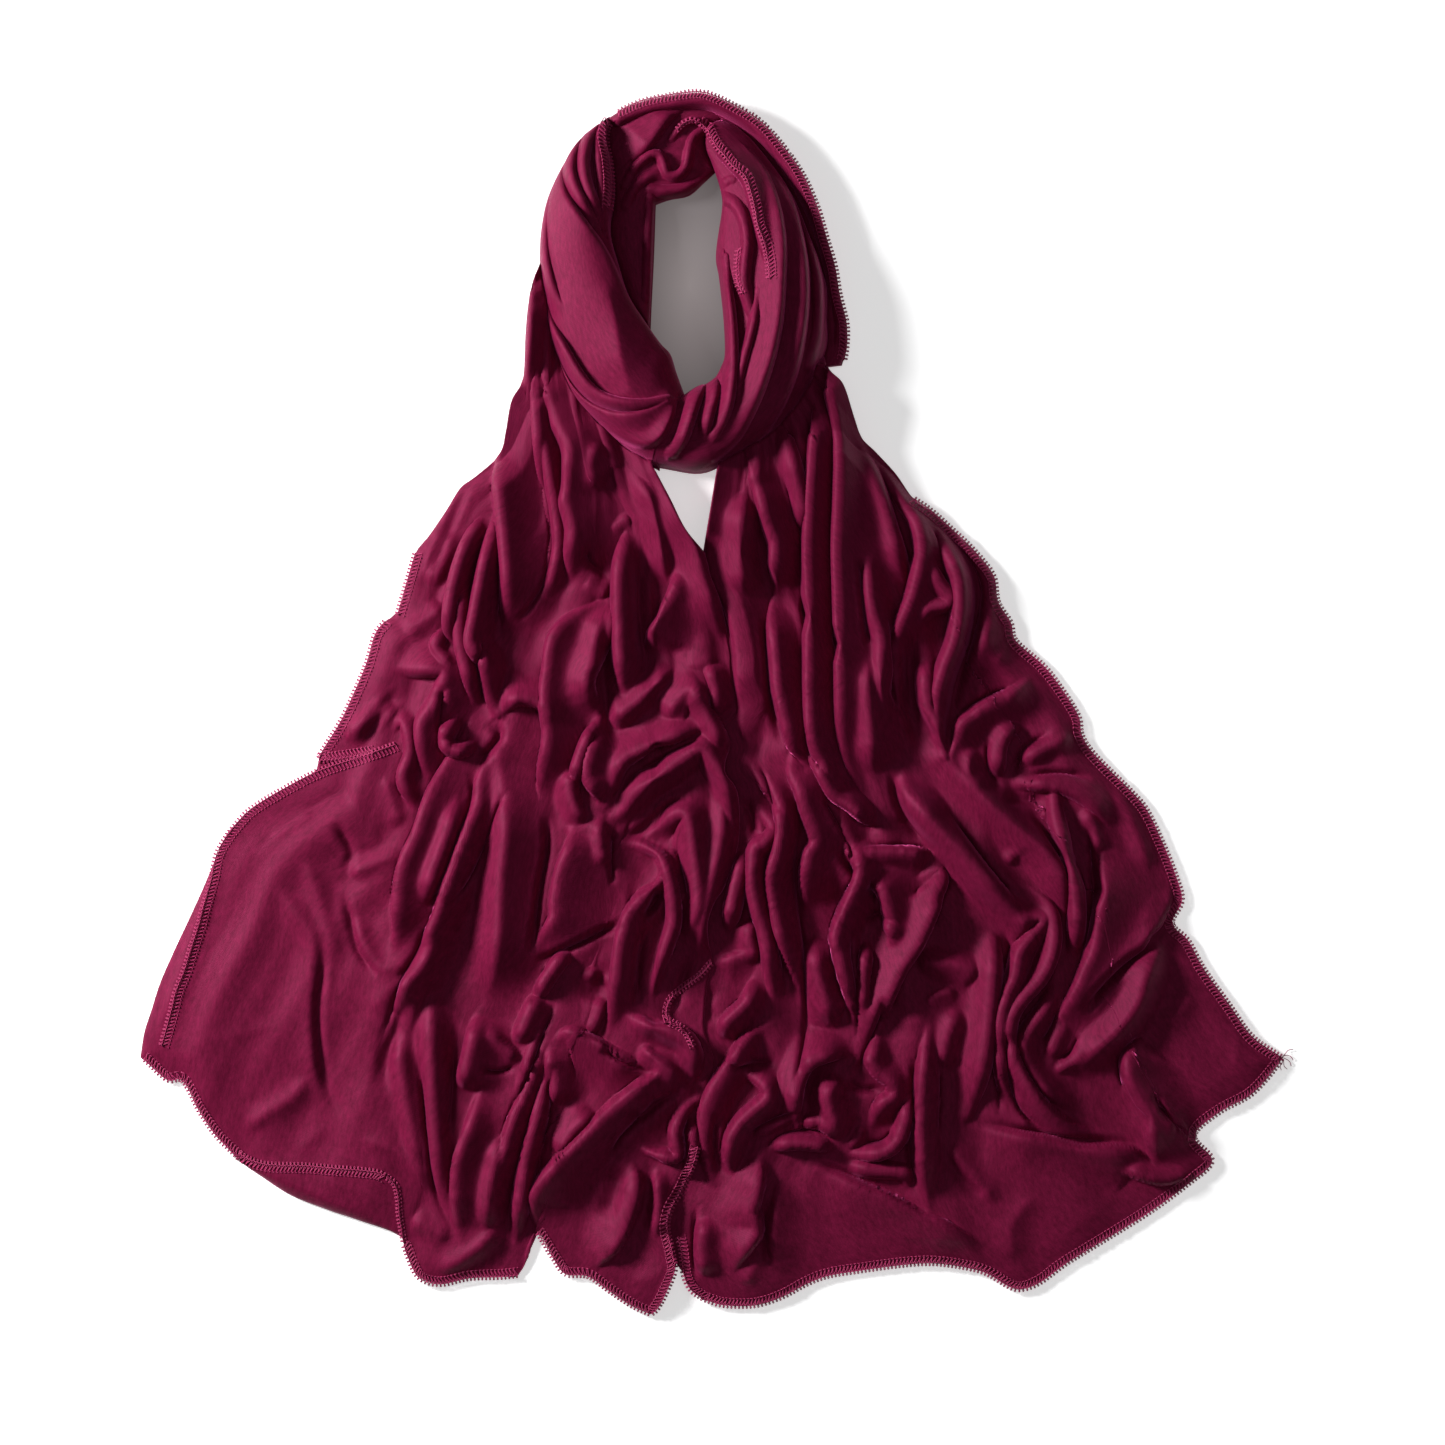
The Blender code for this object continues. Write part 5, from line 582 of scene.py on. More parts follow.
def smooth(points, steps=CURVE_STEPS):
    """A Catmull-Rom curve: each span is a cubic whose end slopes are half the difference of
    the points on either side."""
    knots = np.asarray(points, float)
    if len(knots) < 3:
        return knots
    before = np.vstack([2 * knots[0] - knots[1], knots[:-2]])
    after = np.vstack([knots[2:], 2 * knots[-1] - knots[-2]])
    start, end = knots[:-1], knots[1:]
    t = np.linspace(0, 1, steps, endpoint=False)[:, None, None]
    spans = (start + 0.5 * t * (end - before)
             + t ** 2 * (before - 2.5 * start + 2 * end - 0.5 * after)
             + t ** 3 * (-0.5 * before + 1.5 * start - 1.5 * end + 0.5 * after))
    return np.vstack([spans.transpose(1, 0, 2).reshape(-1, knots.shape[1]), knots[-1:]])


def side(curves, steps=3):
    """The smooth curves of one side, end to end, without their doubled corner points."""
    parts = [smooth(curve, steps) for curve in curves]
    return np.vstack([parts[0]] + [part[1:] for part in parts[1:]])


def lengths_along(line):
    """The distance walked along a line at each of its points."""
    return np.r_[0, np.cumsum(np.linalg.norm(np.diff(line, axis=0), axis=1))]


def resampled(line, count):
    """The line with this many points, evenly spaced by length."""
    walked = lengths_along(line)
    wanted = np.linspace(0, walked[-1], count)
    return np.column_stack([np.interp(wanted, walked, line[:, i]) for i in range(line.shape[1])])


def spaced(curves, cells):
    """cells + 1 points along one side. Every corner between two curves is one of them."""
    lines = [smooth(curve) for curve in curves]
    reached = np.cumsum([lengths_along(line)[-1] for line in lines])
    corners = np.r_[0, np.round(reached / reached[-1] * cells)].astype(int)
    if CENTRE_SEAM in curves:
        corners = np.round(np.r_[0, np.cumsum(CENTRE_CELLS)] * cells / sum(CENTRE_CELLS)).astype(int)
    points = [lines[0][:1]]
    for line, start, end in zip(lines, corners[:-1], corners[1:]):
        points.append(resampled(line, end - start + 1)[1:])
    return np.vstack(points)


def patch(stretch, across, along):
    """A Coons patch: the sum of the two ruled surfaces between opposite sides, less the one
    between the corners. Rows run along the stretch."""
    first, last = spaced(stretch.first, across), spaced(stretch.last, across)
    right, left = spaced(stretch.right, along), spaced(stretch.left, along)
    u = np.linspace(0, 1, across + 1)[None, :, None]
    v = np.linspace(0, 1, along + 1)[:, None, None]
    corners = ((1 - u) * (1 - v) * first[0] + u * (1 - v) * first[-1]
               + (1 - u) * v * last[0] + u * v * last[-1])
    return (1 - v) * first[None] + v * last[None] + (1 - u) * right[:, None] + u * left[:, None] - corners


# %% [markdown]
# ## Height of the folds
#
# The height over the table is worked out for any point of the chart. Each fold gives its own
# height there, and the highest shows. A power mean joins them, so that two folds meet in a
# tight valley and not in a sharp cut.

# %% Heights
FOLD_BLEND = 4.0            # how sharply neighbouring folds meet
NARROW_SPREAD = 10.0        # a side narrower than this is round, a wider one runs out softly,
RUN_OUT = 2.8               # this many times further than its spread
SOFT_POWER = 1.8            # of a side that runs out
CREST = 1.5                 # chart steps over which the top of a fold is round
FOLD_STEPS = 5              # points worked out along each span of a crest
TAIL_FOLD_SCALE = 1.75
SHORT_FOLD = 75.0           # a fold shorter than this is lower by as much
TAPER = 0.3                 # share of a fold's length over which each end dies away


def nearest(points, line):
    """For each point: its distance to the line, how far along the line the nearest place is
    (0 to 1), and which hand of the walk it is on (1 right, -1 left on the chart)."""
    a, b = line[:-1], line[1:]
    run = b - a
    lengths = np.maximum(np.hypot(*run.T), 1e-9)
    offset = points[:, None] - a[None]
    share = np.clip(np.sum(offset * run, axis=2) / lengths ** 2, 0, 1)
    gap = offset - share[..., None] * run
    distance = np.hypot(gap[..., 0], gap[..., 1])
    best = np.argmin(distance, axis=1)
    rows = np.arange(len(points))
    reached = (np.r_[0, np.cumsum(lengths)[:-1]][best] + share[rows, best] * lengths[best]) / lengths.sum()
    cross = run[best, 0] * offset[rows, best, 1] - run[best, 1] * offset[rows, best, 0]
    return distance[rows, best], reached, np.where(cross > 0, 1.0, -1.0)


def eased(x):
    """0 below 0, 1 above 1, and a smooth step between."""
    x = np.clip(x, 0, 1)
    return x * x * (3 - 2 * x)


def fold_height(points, fold):
    """One fold. A narrow side is round and steep. A wide side is rounded at the crest and then
    runs out ever more gently: the share of its reach that is left, to the power SOFT_POWER."""
    line = smooth(fold.crest, FOLD_STEPS)
    right, left = (reach if reach < NARROW_SPREAD else reach * RUN_OUT for reach in (fold.right, fold.left))
    reach = max(right, left)
    near = np.all((points > line.min(0) - reach) & (points < line.max(0) + reach), axis=1)
    height = np.zeros(len(points))
    if near.any():
        distance, reached, hand = nearest(points[near], line)
        spread = np.where(hand > 0, right, left)
        steep = np.clip(1 - (distance / spread) ** 2, 0, 1)
        from_crest = np.sqrt(distance ** 2 + CREST ** 2) - CREST
        gentle = np.clip(1 - from_crest / spread, 0, 1) ** SOFT_POWER
        ends = (fold.start + (1 - fold.start) * eased(reached / TAPER)) * (
            fold.end + (1 - fold.end) * eased((1 - reached) / TAPER))
        ends *= min(1.0, lengths_along(line)[-1] / SHORT_FOLD)
        height[near] = fold.height * MM * np.where(spread < NARROW_SPREAD, steep, gentle) * ends
    return height


def pressed(points, creases):
    """The share of the height that the creases leave at each point."""
    left = np.ones(len(points))
    for crease in creases:
        line = smooth(crease.path, FOLD_STEPS)
        inside = (points > line.min(0) - crease.spread) & (points < line.max(0) + crease.spread)
        near = np.all(inside, axis=1)
        if near.any():
            distance, reached, _ = nearest(points[near], line)
            ends = np.clip(4 * np.minimum(reached, 1 - reached), 0, 1)
            left[near] *= 1 - crease.share * ends * np.clip(1 - (distance / crease.spread) ** 2, 0, 1) ** 1.5
    return left


def folded(points, base, folds, scale=1.0):
    """Folds and the cloth between them, joined so that the highest one shows."""
    total = base ** FOLD_BLEND
    for fold in folds:
        total = total + (scale * fold_height(points, fold)) ** FOLD_BLEND
    return total ** (1 / FOLD_BLEND)


# Slow waves of the cloth between the folds: how many cross the tail, how many run along it,
# where they start, how far they wander and their height in millimetres
Wave = namedtuple("Wave", "across along start wander height")
WAVES = (
    Wave(4.3, 0.7, 0.10, 0.55, 2.6),
    Wave(6.7, -1.2, 0.43, 0.70, 1.8),
    Wave(2.1, 2.6, 0.77, 0.40, 2.2),
    Wave(15.9, 1.9, 0.28, 0.90, 0.5),
    Wave(7.1, 6.3, 0.05, 0.60, 0.5),
)


def billows(points, grid):
    """A sum of sharpened sine waves over the tail's own two directions. A slower sine bends
    each one, so that no two crests are alike."""
    rows, columns = grid
    u = np.tile(np.linspace(0, 1, columns), rows)
    v = np.repeat(np.linspace(0, 1, rows), columns)
    total = np.zeros(len(points))
    for wave in WAVES:
        bend = wave.wander * np.sin(math.tau * (1.3 * v + 0.9 * u + 2 * wave.start))
        phase = wave.across * u + wave.along * v + wave.start + 0.35 * bend
        total += wave.height * (0.5 + 0.5 * np.sin(math.tau * phase)) ** 1.5
    return total * MM


def tail_height(points, tail):
    """Upper face of a tail: its folds, heaped up beside the loop and brought down to the table
    along its free edges."""
    from_loop = nearest(points, side(tail.first))[0] * CHART_STEP
    heap = TAIL_HEAP_HEIGHT * np.exp(-(from_loop / HEAP_REACH) ** 2)
    base = TAIL_REST_HEIGHT + billows(points, (TAIL_CELLS[1] + 1, TAIL_CELLS[0] + 1))
    height = folded(points, base, tail.folds, TAIL_FOLD_SCALE) * pressed(points, tail.creases) + heap
    to_free = np.minimum(nearest(points, side(tail.free[:1]))[0], nearest(points, side(tail.free[1:]))[0])
    edge = np.maximum(np.clip(to_free * CHART_STEP / EDGE_REACH, 0, 1), heap / TAIL_HEAP_HEIGHT)
    height = EDGE_HEIGHT + (height - EDGE_HEIGHT) * np.sqrt(edge)
    if tail.under:
        under = np.clip(nearest(points, side((tail.under,)))[0] / UNDER_REACH, 0, 1)
        height = EDGE_HEIGHT + (height - EDGE_HEIGHT) * (UNDER_SHARE + (1 - UNDER_SHARE) * under)
    return height


# %% [markdown]
# ## From heights to cloth
#
# A table of heights alone can't roll over, but a jersey fold does: its crown is fat and the
# crevice beside it is tight. So each point is also moved sideways, downhill, in step with the
# slope. Crowns widen and crevices close, as on a rolling wave turned upside down.

# %% Rolling the folds over
ROLL = 2.0                  # chart steps of sideways move for a slope of one
MOST_ROLL = 5.0


def softened(values, times=1):
    """Each value averaged with its four neighbours in the grid, this many times."""
    for _ in range(times):
        padded = np.pad(values, 1, mode="edge")
        beside = padded[:-2, 1:-1] + padded[2:, 1:-1] + padded[1:-1, :-2] + padded[1:-1, 2:]
        values = (4 * values + beside) / 8
    return values


def slopes(plan, heights):
    """How much the height rises for each chart step to the right and down. The two grid
    directions give two equations for the two slopes."""
    height_u, height_v = np.gradient(heights, axis=1), np.gradient(heights, axis=0)
    x_u, y_u = np.gradient(plan[..., 0], axis=1), np.gradient(plan[..., 1], axis=1)
    x_v, y_v = np.gradient(plan[..., 0], axis=0), np.gradient(plan[..., 1], axis=0)
    scale = x_u * y_v - x_v * y_u
    scale = np.where(np.abs(scale) < 1e-3, np.copysign(1e-3, scale), scale)
    return (height_u * y_v - height_v * y_u) / scale, (height_v * x_u - height_u * x_v) / scale


def rolled(plan, heights, hold):
    """The plan with each point moved downhill by ROLL times its slope. hold is 0 where the
    cloth must keep its place and 1 where it may move."""
    right, down = slopes(plan, softened(heights) / CHART_STEP)
    right, down = softened(right), softened(down)
    steep = np.maximum(np.hypot(right, down), 1e-6)
    reach = MOST_ROLL * np.tanh(ROLL * steep / MOST_ROLL) / steep * hold
    return plan - np.stack([right * reach, down * reach], axis=-1)

# %% [markdown]
# ## A shell of cloth
#
# Every stretch becomes a closed shell. Its upper face has all the points of the grid. Nobody
# sees the lower face, so it has every fourth point only, each one lower than all the cloth
# around it, and never below the table. One many-sided face joins each stretch of the rims.

# %% Shells
COARSE = 4                  # grid cells to one cell of the lower face
TABLE_CLEARANCE = 0.0002


def lowest_around(heights, reach):
    """For each grid point, the lowest height within this many points of it each way."""
    rows, columns = heights.shape
    padded = np.pad(heights, reach, mode="edge")
    across = np.min([padded[:, i:i + columns] for i in range(2 * reach + 1)], axis=0)
    return np.min([across[i:i + rows] for i in range(2 * reach + 1)], axis=0)


def rim_of(index):
    """The grid's outermost points, walked once round."""
    return np.r_[index[0, :-1], index[:-1, -1], index[-1, :0:-1], index[:0:-1, 0]]


def quads_of(index):
    return np.stack([index[:-1, :-1], index[:-1, 1:], index[1:, 1:], index[1:, :-1]], axis=-1).reshape(-1, 4)


def flat_size(points):
    """The cloth in a grid of points, laid flat: the mean length across it and along it."""
    across = np.linalg.norm(np.diff(points, axis=1), axis=2).sum(axis=1).mean()
    along = np.linalg.norm(np.diff(points, axis=0), axis=2).sum(axis=0).mean()
    return float(across), float(along)


def shell(name, plan, heights):
    """A closed shell on a grid of chart points, with a UV map in metres of flat cloth."""
    rows, columns = heights.shape
    world = (plan - CHART_CENTRE) * (CHART_STEP, -CHART_STEP)
    cut = flat_size(np.dstack([world, heights]))
    under = np.maximum(lowest_around(heights, COARSE) - JERSEY_WALL, TABLE_CLEARANCE)[::COARSE, ::COARSE]
    upper_index = np.arange(rows * columns).reshape(rows, columns)
    lower_index = rows * columns + np.arange(under.size).reshape(under.shape)
    points = np.vstack([np.dstack([world, heights]).reshape(-1, 3),
                        np.dstack([world[::COARSE, ::COARSE], under]).reshape(-1, 3)])
    top_rim, low_rim = rim_of(upper_index), rim_of(lower_index)
    after = np.roll(low_rim, -1)
    spans = np.stack([np.roll(top_rim, -i)[::COARSE] for i in range(COARSE + 1)], axis=1)
    walls = np.column_stack([spans[:, ::-1], low_rim, after])
    upper, lower = quads_of(upper_index), quads_of(lower_index)[:, ::-1]
    ahead = points[upper[:, 1]] - points[upper[:, 0]]
    beside = points[upper[:, 3]] - points[upper[:, 0]]
    if np.median(ahead[:, 0] * beside[:, 1] - ahead[:, 1] * beside[:, 0]) < 0:
        upper, lower, walls = upper[:, ::-1], lower[:, ::-1], walls[:, ::-1]
    mesh = bpy.data.meshes.new(name)
    mesh.from_pydata(points.tolist(), [], upper.tolist() + lower.tolist() + walls.tolist())
    u, v = np.meshgrid(np.linspace(0, cut[0], columns), np.linspace(0, cut[1], rows))
    flat = np.vstack([np.dstack([u, v]).reshape(-1, 2),
                      np.dstack([u, v])[::COARSE, ::COARSE].reshape(-1, 2)])
    corners = np.empty(len(mesh.loops), np.int32)
    mesh.loops.foreach_get("vertex_index", corners)
    mesh.uv_layers.new(name="cloth").data.foreach_set("uv", flat[corners].ravel().astype(np.float32))
    mesh.shade_smooth()
    made = bpy.data.objects.new(name, mesh)
    bpy.context.scene.collection.objects.link(made)
    print(f"{name}: {rows} x {columns} points, {cut[0]:.3f} x {cut[1]:.3f} m of cloth")
    return made


# %% [markdown]
# ## Jersey
#
# Fine jersey shows narrow upright ribs, the wales, about two to the millimetre. They are far
# too fine to model, so they are a bump on the cloth's own UV map, which follows the folds. The
# yarn also takes the dye a little unevenly, and its loose fibres give a soft sheen.

# %% Knit shader group
def new_group(name, inputs, outputs):
    group = bpy.data.node_groups.new(name, "ShaderNodeTree")
    for label, kind, value in inputs:
        socket = group.interface.new_socket(name=label, in_out="INPUT", socket_type=kind)
        socket.default_value = value
    for label, kind in outputs:
        group.interface.new_socket(name=label, in_out="OUTPUT", socket_type=kind)
    return group, group.nodes.new("NodeGroupInput"), group.nodes.new("NodeGroupOutput")


def maths(tree, operation, a, b=None, c=None):
    node = tree.nodes.new("ShaderNodeMath")
    node.operation = operation
    for socket, value in zip(node.inputs, (a, b, c)):
        if isinstance(value, bpy.types.NodeSocket):
            tree.links.new(value, socket)
        elif value is not None:
            socket.default_value = value
    return node.outputs[0]


def noise(tree, vector, scale, detail=3.0, roughness=0.55):
    node = tree.nodes.new("ShaderNodeTexNoise")
    node.inputs["Scale"].default_value = scale
    node.inputs["Detail"].default_value = detail
    node.inputs["Roughness"].default_value = roughness
    tree.links.new(vector, node.inputs["Vector"])
    return node.outputs["Fac"]


knit, knit_in, knit_out = new_group(
    "knit", [("Cloth", "NodeSocketVector", (0, 0, 0)), ("Pitch", "NodeSocketFloat", 0.0005)],
    [("Height", "NodeSocketFloat"), ("Melange", "NodeSocketFloat")])
across_cloth = knit.nodes.new("ShaderNodeSeparateXYZ")
knit.links.new(knit_in.outputs["Cloth"], across_cloth.inputs[0])
wobble = maths(knit, "MULTIPLY", noise(knit, knit_in.outputs["Cloth"], 60.0), 0.002)
wale = maths(knit, "SINE", maths(knit, "DIVIDE", maths(knit, "MULTIPLY", maths(
    knit, "ADD", across_cloth.outputs["X"], wobble), math.tau), knit_in.outputs["Pitch"]))
course = maths(knit, "SINE", maths(knit, "DIVIDE", maths(
    knit, "MULTIPLY", across_cloth.outputs["Y"], math.tau), knit_in.outputs["Pitch"]))
stitches = maths(knit, "MULTIPLY_ADD", course, 0.3, maths(knit, "ABSOLUTE", wale))
fuzz = noise(knit, knit_in.outputs["Cloth"], 900.0, 2.0)
knit.links.new(maths(knit, "ADD", stitches, fuzz), knit_out.inputs["Height"])
streaks = knit.nodes.new("ShaderNodeMapping")
streaks.inputs["Scale"].default_value = (1.0, 0.3, 1.0)
knit.links.new(knit_in.outputs["Cloth"], streaks.inputs["Vector"])
uneven = noise(knit, streaks.outputs[0], 420.0, 4.0, 0.8)
contrast = maths(knit, "MULTIPLY_ADD", uneven, 2.4, -0.7)
contrast.node.use_clamp = True
knit.links.new(contrast, knit_out.inputs["Melange"])

# %% Cloth and thread
JERSEY_DARK = (0.072, 0.0022, 0.0150, 1)
JERSEY_LIGHT = (0.160, 0.0060, 0.0370, 1)
THREAD = (0.400, 0.025, 0.115, 1)
THREAD_DARK = (0.200, 0.0125, 0.0575, 1)


def plain_material(name, roughness):
    made = bpy.data.materials.new(name)
    made.use_nodes = True
    shader = made.node_tree.nodes["Principled BSDF"]
    shader.inputs["Roughness"].default_value = roughness
    return made, made.node_tree, shader


def mixed(tree, factor, dark, light):
    node = tree.nodes.new("ShaderNodeMix")
    node.data_type = "RGBA"
    node.inputs["A"].default_value = dark
    node.inputs["B"].default_value = light
    tree.links.new(factor, node.inputs["Factor"])
    return node.outputs["Result"]


jersey, tree, shader = plain_material("wine_jersey", 0.55)
uv = tree.nodes.new("ShaderNodeUVMap")
uv.uv_map = "cloth"
ribs = tree.nodes.new("ShaderNodeGroup")
ribs.node_tree = knit
ribs.inputs["Pitch"].default_value = 0.0011
tree.links.new(uv.outputs[0], ribs.inputs["Cloth"])
tree.links.new(mixed(tree, ribs.outputs["Melange"], JERSEY_DARK, JERSEY_LIGHT), shader.inputs["Base Color"])
bump = tree.nodes.new("ShaderNodeBump")
bump.inputs["Strength"].default_value = 0.25
bump.inputs["Distance"].default_value = 0.0002
tree.links.new(ribs.outputs["Height"], bump.inputs["Height"])
tree.links.new(bump.outputs[0], shader.inputs["Normal"])
shader.inputs["Sheen Weight"].default_value = 0.5
shader.inputs["Sheen Roughness"].default_value = 0.32
shader.inputs["Sheen Tint"].default_value = (1.0, 0.12, 0.40, 1)
shader.inputs["Specular IOR Level"].default_value = 0.22
shader.inputs["Specular Tint"].default_value = (1.0, 0.25, 0.50, 1)

thread, tree, shader = plain_material("overlock_thread", 0.6)
place = tree.nodes.new("ShaderNodeTexCoord")
twist = noise(tree, place.outputs["Object"], 700.0, 2.0)
tree.links.new(mixed(tree, twist, THREAD_DARK, THREAD), shader.inputs["Base Color"])
shader.inputs["Specular IOR Level"].default_value = 0.25
print("materials:", jersey.name, thread.name)

# %% [markdown]
# ## The two tails
#
# A tail runs out from under the loop, so its first rows are tucked in below the loop's edge.
# Where the tails meet in the middle, the left one lies over the right one, so the right one is
# tucked under there too. Tucked cloth lies low and is never seen, but it leaves no gap.

# %% Tucks and walls
TUCK_STEPS = (2, 4, 6, 9)   # chart steps past the edge, for cloth that runs on below more cloth
WALL_STEPS = (0.5, 0.9, 1.1, 1.0)  # for cloth that turns down to the table
WALL_FOOT = 0.0012          # height of the foot of such a wall, metres


def tucked(plan, heights, edge, low, share=1.0):
    """Rows added outside one edge of the grid, with the height falling to low. share, 0 to 1
    along the edge, says where they run on below more cloth. Elsewhere they turn down."""
    crossed, flipped = edge in ("right", "left"), edge in ("last", "left")
    if crossed:
        plan, heights = plan.swapaxes(0, 1), heights.T
    if flipped:
        plan, heights = plan[::-1], heights[::-1]
    outwards = plan[0] - plan[2]
    outwards /= np.maximum(np.linalg.norm(outwards, axis=1), 1e-6)[:, None]
    share = share * np.ones(plan.shape[1])
    reach = np.array(TUCK_STEPS)[::-1, None] * share + np.array(WALL_STEPS)[::-1, None] * (1 - share)
    fall = np.linspace(0, 1, len(TUCK_STEPS) + 1)[:-1, None] ** 0.6
    lower = low + (np.maximum(heights[0], low) - low) * fall
    plan, heights = np.vstack([plan[0] + reach[..., None] * outwards, plan]), np.vstack([lower, heights])
    if flipped:
        plan, heights = plan[::-1], heights[::-1]
    return (plan.swapaxes(0, 1), heights.T) if crossed else (plan, heights)


# %% Fine tails
TAIL_CELLS = (228, 324)
FREE_HOLD = 14.0            # chart steps from a free edge over which the cloth may start to roll
BELOW_LOOP_HEIGHT = 0.004   # of the rows that run on below the loop
SEAM_EASE = 30              # how sharply the tuck begins and ends along the centre seam


def fine_tail(tail):
    plan = patch(tail, *TAIL_CELLS)
    points = plan.reshape(-1, 2)
    heights = tail_height(points, tail).reshape(plan.shape[:2])
    rim = side((*tail.free, GAP_LEFT, GAP_RIGHT))
    hold = np.clip(nearest(points, rim)[0] / FREE_HOLD, 0, 1).reshape(heights.shape)
    plan = rolled(plan, heights, hold)
    plan, heights = tucked(plan, heights, "first", BELOW_LOOP_HEIGHT)
    if tail.under:
        seam_start, seam_end = (np.cumsum(CENTRE_CELLS)[i] / sum(CENTRE_CELLS) for i in (0, 1))
        v = (np.arange(len(plan)) - len(TUCK_STEPS)) / TAIL_CELLS[1]
        share = eased((v - seam_start) * SEAM_EASE) * eased((seam_end - v) * SEAM_EASE)
        plan, heights = tucked(plan, heights, "right", WALL_FOOT, share)
    else:
        plan, heights = tucked(plan, heights, "left", WALL_FOOT, 0.0)
    return shell(tail.name + "_cloth", plan, heights)


tail_pieces = [fine_tail(tail) for tail in TAILS]

# %% [markdown]
# ## The loop
#
# The loop's bands are rolls of several layers. Each is a dome with pleats on it. The dome's
# rims turn down steeply, and the back band is tucked in below the two front ones.

# %% Fine bands
BAND_CELLS = {"loop_back": (96, 360), "loop_left": (120, 300), "loop_right": (128, 320)}
DOME_POWER = 0.5
RIM_DROP = 0.35             # of the crown: how far the visible cloth turns down at a rim
BAND_FOLD_SCALE = 1.3
BAND_ROLL = 0.45            # the narrow pleats of the bands roll over less than the tails do
RIM_HOLD = 0.125            # share of the width, from a rim, over which they start to roll
END_HOLD = 0.05             # and share of the length, from an end
RIM_EASE = 40               # how sharply a rim changes from running on below to turning down
STRIP_MARGIN = 0.01
# How each end of a band runs on: which end, how low it falls and whether it is under cloth
BAND_ENDS = {
    "loop_back": (("first", WALL_FOOT, 1.0), ("last", WALL_FOOT, 0.0)),
    "loop_left": (("first", WALL_FOOT, 0.35), ("last", 0.010, 1.0)),
    "loop_right": (("first", WALL_FOOT, 0.0),),
}


def band_height(points, u, v, band):
    """A crown across the band with its pleats on top. The crown's height along the band is the
    quadratic through its three stated heights."""
    crown = (band.crown[0] * (1 - v) * (1 - 2 * v) + band.crown[1] * 4 * v * (1 - v)
             + band.crown[2] * v * (2 * v - 1))
    rim = np.interp(u, (0, 1), band.rims) * (1 - RIM_DROP)
    dome = crown * (rim + (1 - rim) * (4 * u * (1 - u)) ** DOME_POWER)
    return dome + folded(points, np.zeros(len(points)), band.folds, BAND_FOLD_SCALE)


def even_rims(plan):
    """The columns moved towards both rims, where the dome is steepest: the cosine of an even
    angle spaces them."""
    columns = plan.shape[1]
    wanted = 0.5 - 0.5 * np.cos(np.linspace(0, np.pi, columns))
    mixed_share = 0.5 * wanted + 0.5 * np.linspace(0, 1, columns)
    place = mixed_share * (columns - 1)
    low = np.minimum(place.astype(int), columns - 2)
    part = (place - low)[None, :, None]
    return plan[:, low] * (1 - part) + plan[:, low + 1] * part, mixed_share


def below_front_bands(plan):
    """Where the back band runs on below the two front ones: along its outer side as far as the
    crown, and along its inner side from the neck hole on."""
    outer_rows = np.arange(len(plan)) / len(plan)
    strip = lengths_along(side((STRIP_OUTER,)))[-1] / lengths_along(side((STRIP_OUTER, CROWN)))[-1]
    inner = (HOLE_LEFT, HOLE_TOP, RIGHT_TOP[::-1], RIGHT_UNDER_WEDGE[::-1])
    hole = lengths_along(side(inner[:2]))[-1] / lengths_along(side(inner))[-1]
    under_left = eased((strip - STRIP_MARGIN - outer_rows) * RIM_EASE)
    return under_left, eased((outer_rows - hole) * RIM_EASE)


def fine_loop(band):
    across, along = BAND_CELLS[band.name]
    plan, u = even_rims(patch(band, across, along))
    v = np.linspace(0, 1, along + 1)
    heights = band_height(plan.reshape(-1, 2), np.tile(u, along + 1), np.repeat(v, across + 1), band)
    heights = heights.reshape(plan.shape[:2])
    hold_across = np.clip(np.minimum(u, 1 - u) / RIM_HOLD, 0, 1)
    hold_along = np.clip(np.minimum(v, 1 - v) / END_HOLD, 0, 1)
    plan = rolled(plan, heights, BAND_ROLL * hold_across[None, :] * hold_along[:, None])
    under_left, under_right = below_front_bands(plan) if band.name == "loop_back" else (0.0, 0.0)
    plan, heights = tucked(plan, heights, "right", WALL_FOOT, under_left)
    plan, heights = tucked(plan, heights, "left", WALL_FOOT, under_right)
    for edge, low, share in BAND_ENDS[band.name]:
        plan, heights = tucked(plan, heights, edge, low, share)
    return shell(band.name + "_cloth", plan, heights)


loop_pieces = [fine_loop(band) for band in BANDS]

# %% [markdown]
# ## The overlocked edge
#
# An overlocker trims the edge and wraps it in one pass. Its needle thread makes a straight row
# on top, about 4 mm in, and its two looper threads zigzag between that row and the edge,
# where they lock in a row of small loops. Each thread is modelled: it's a line worked out
# stitch by stitch, with a round tube carried along it.

# %% Thread lines
STITCH = 0.0022             # along the edge, metres
EDGE_BAND = 0.0042          # from the needle row to the edge
THREAD_RADIUS = 0.00033
SLANT = 3.2                 # chart steps by which a stitch leans back at the needle row
LOOP_ACROSS = 1.7           # half the width of an edge loop, chart steps
LOOP_ALONG = 1.5            # and half its length
LOOP_OUT = 1.3              # its middle stands this far outside the edge
ZIGZAG_SWAY = 0.6
THREAD_SIDES = 5


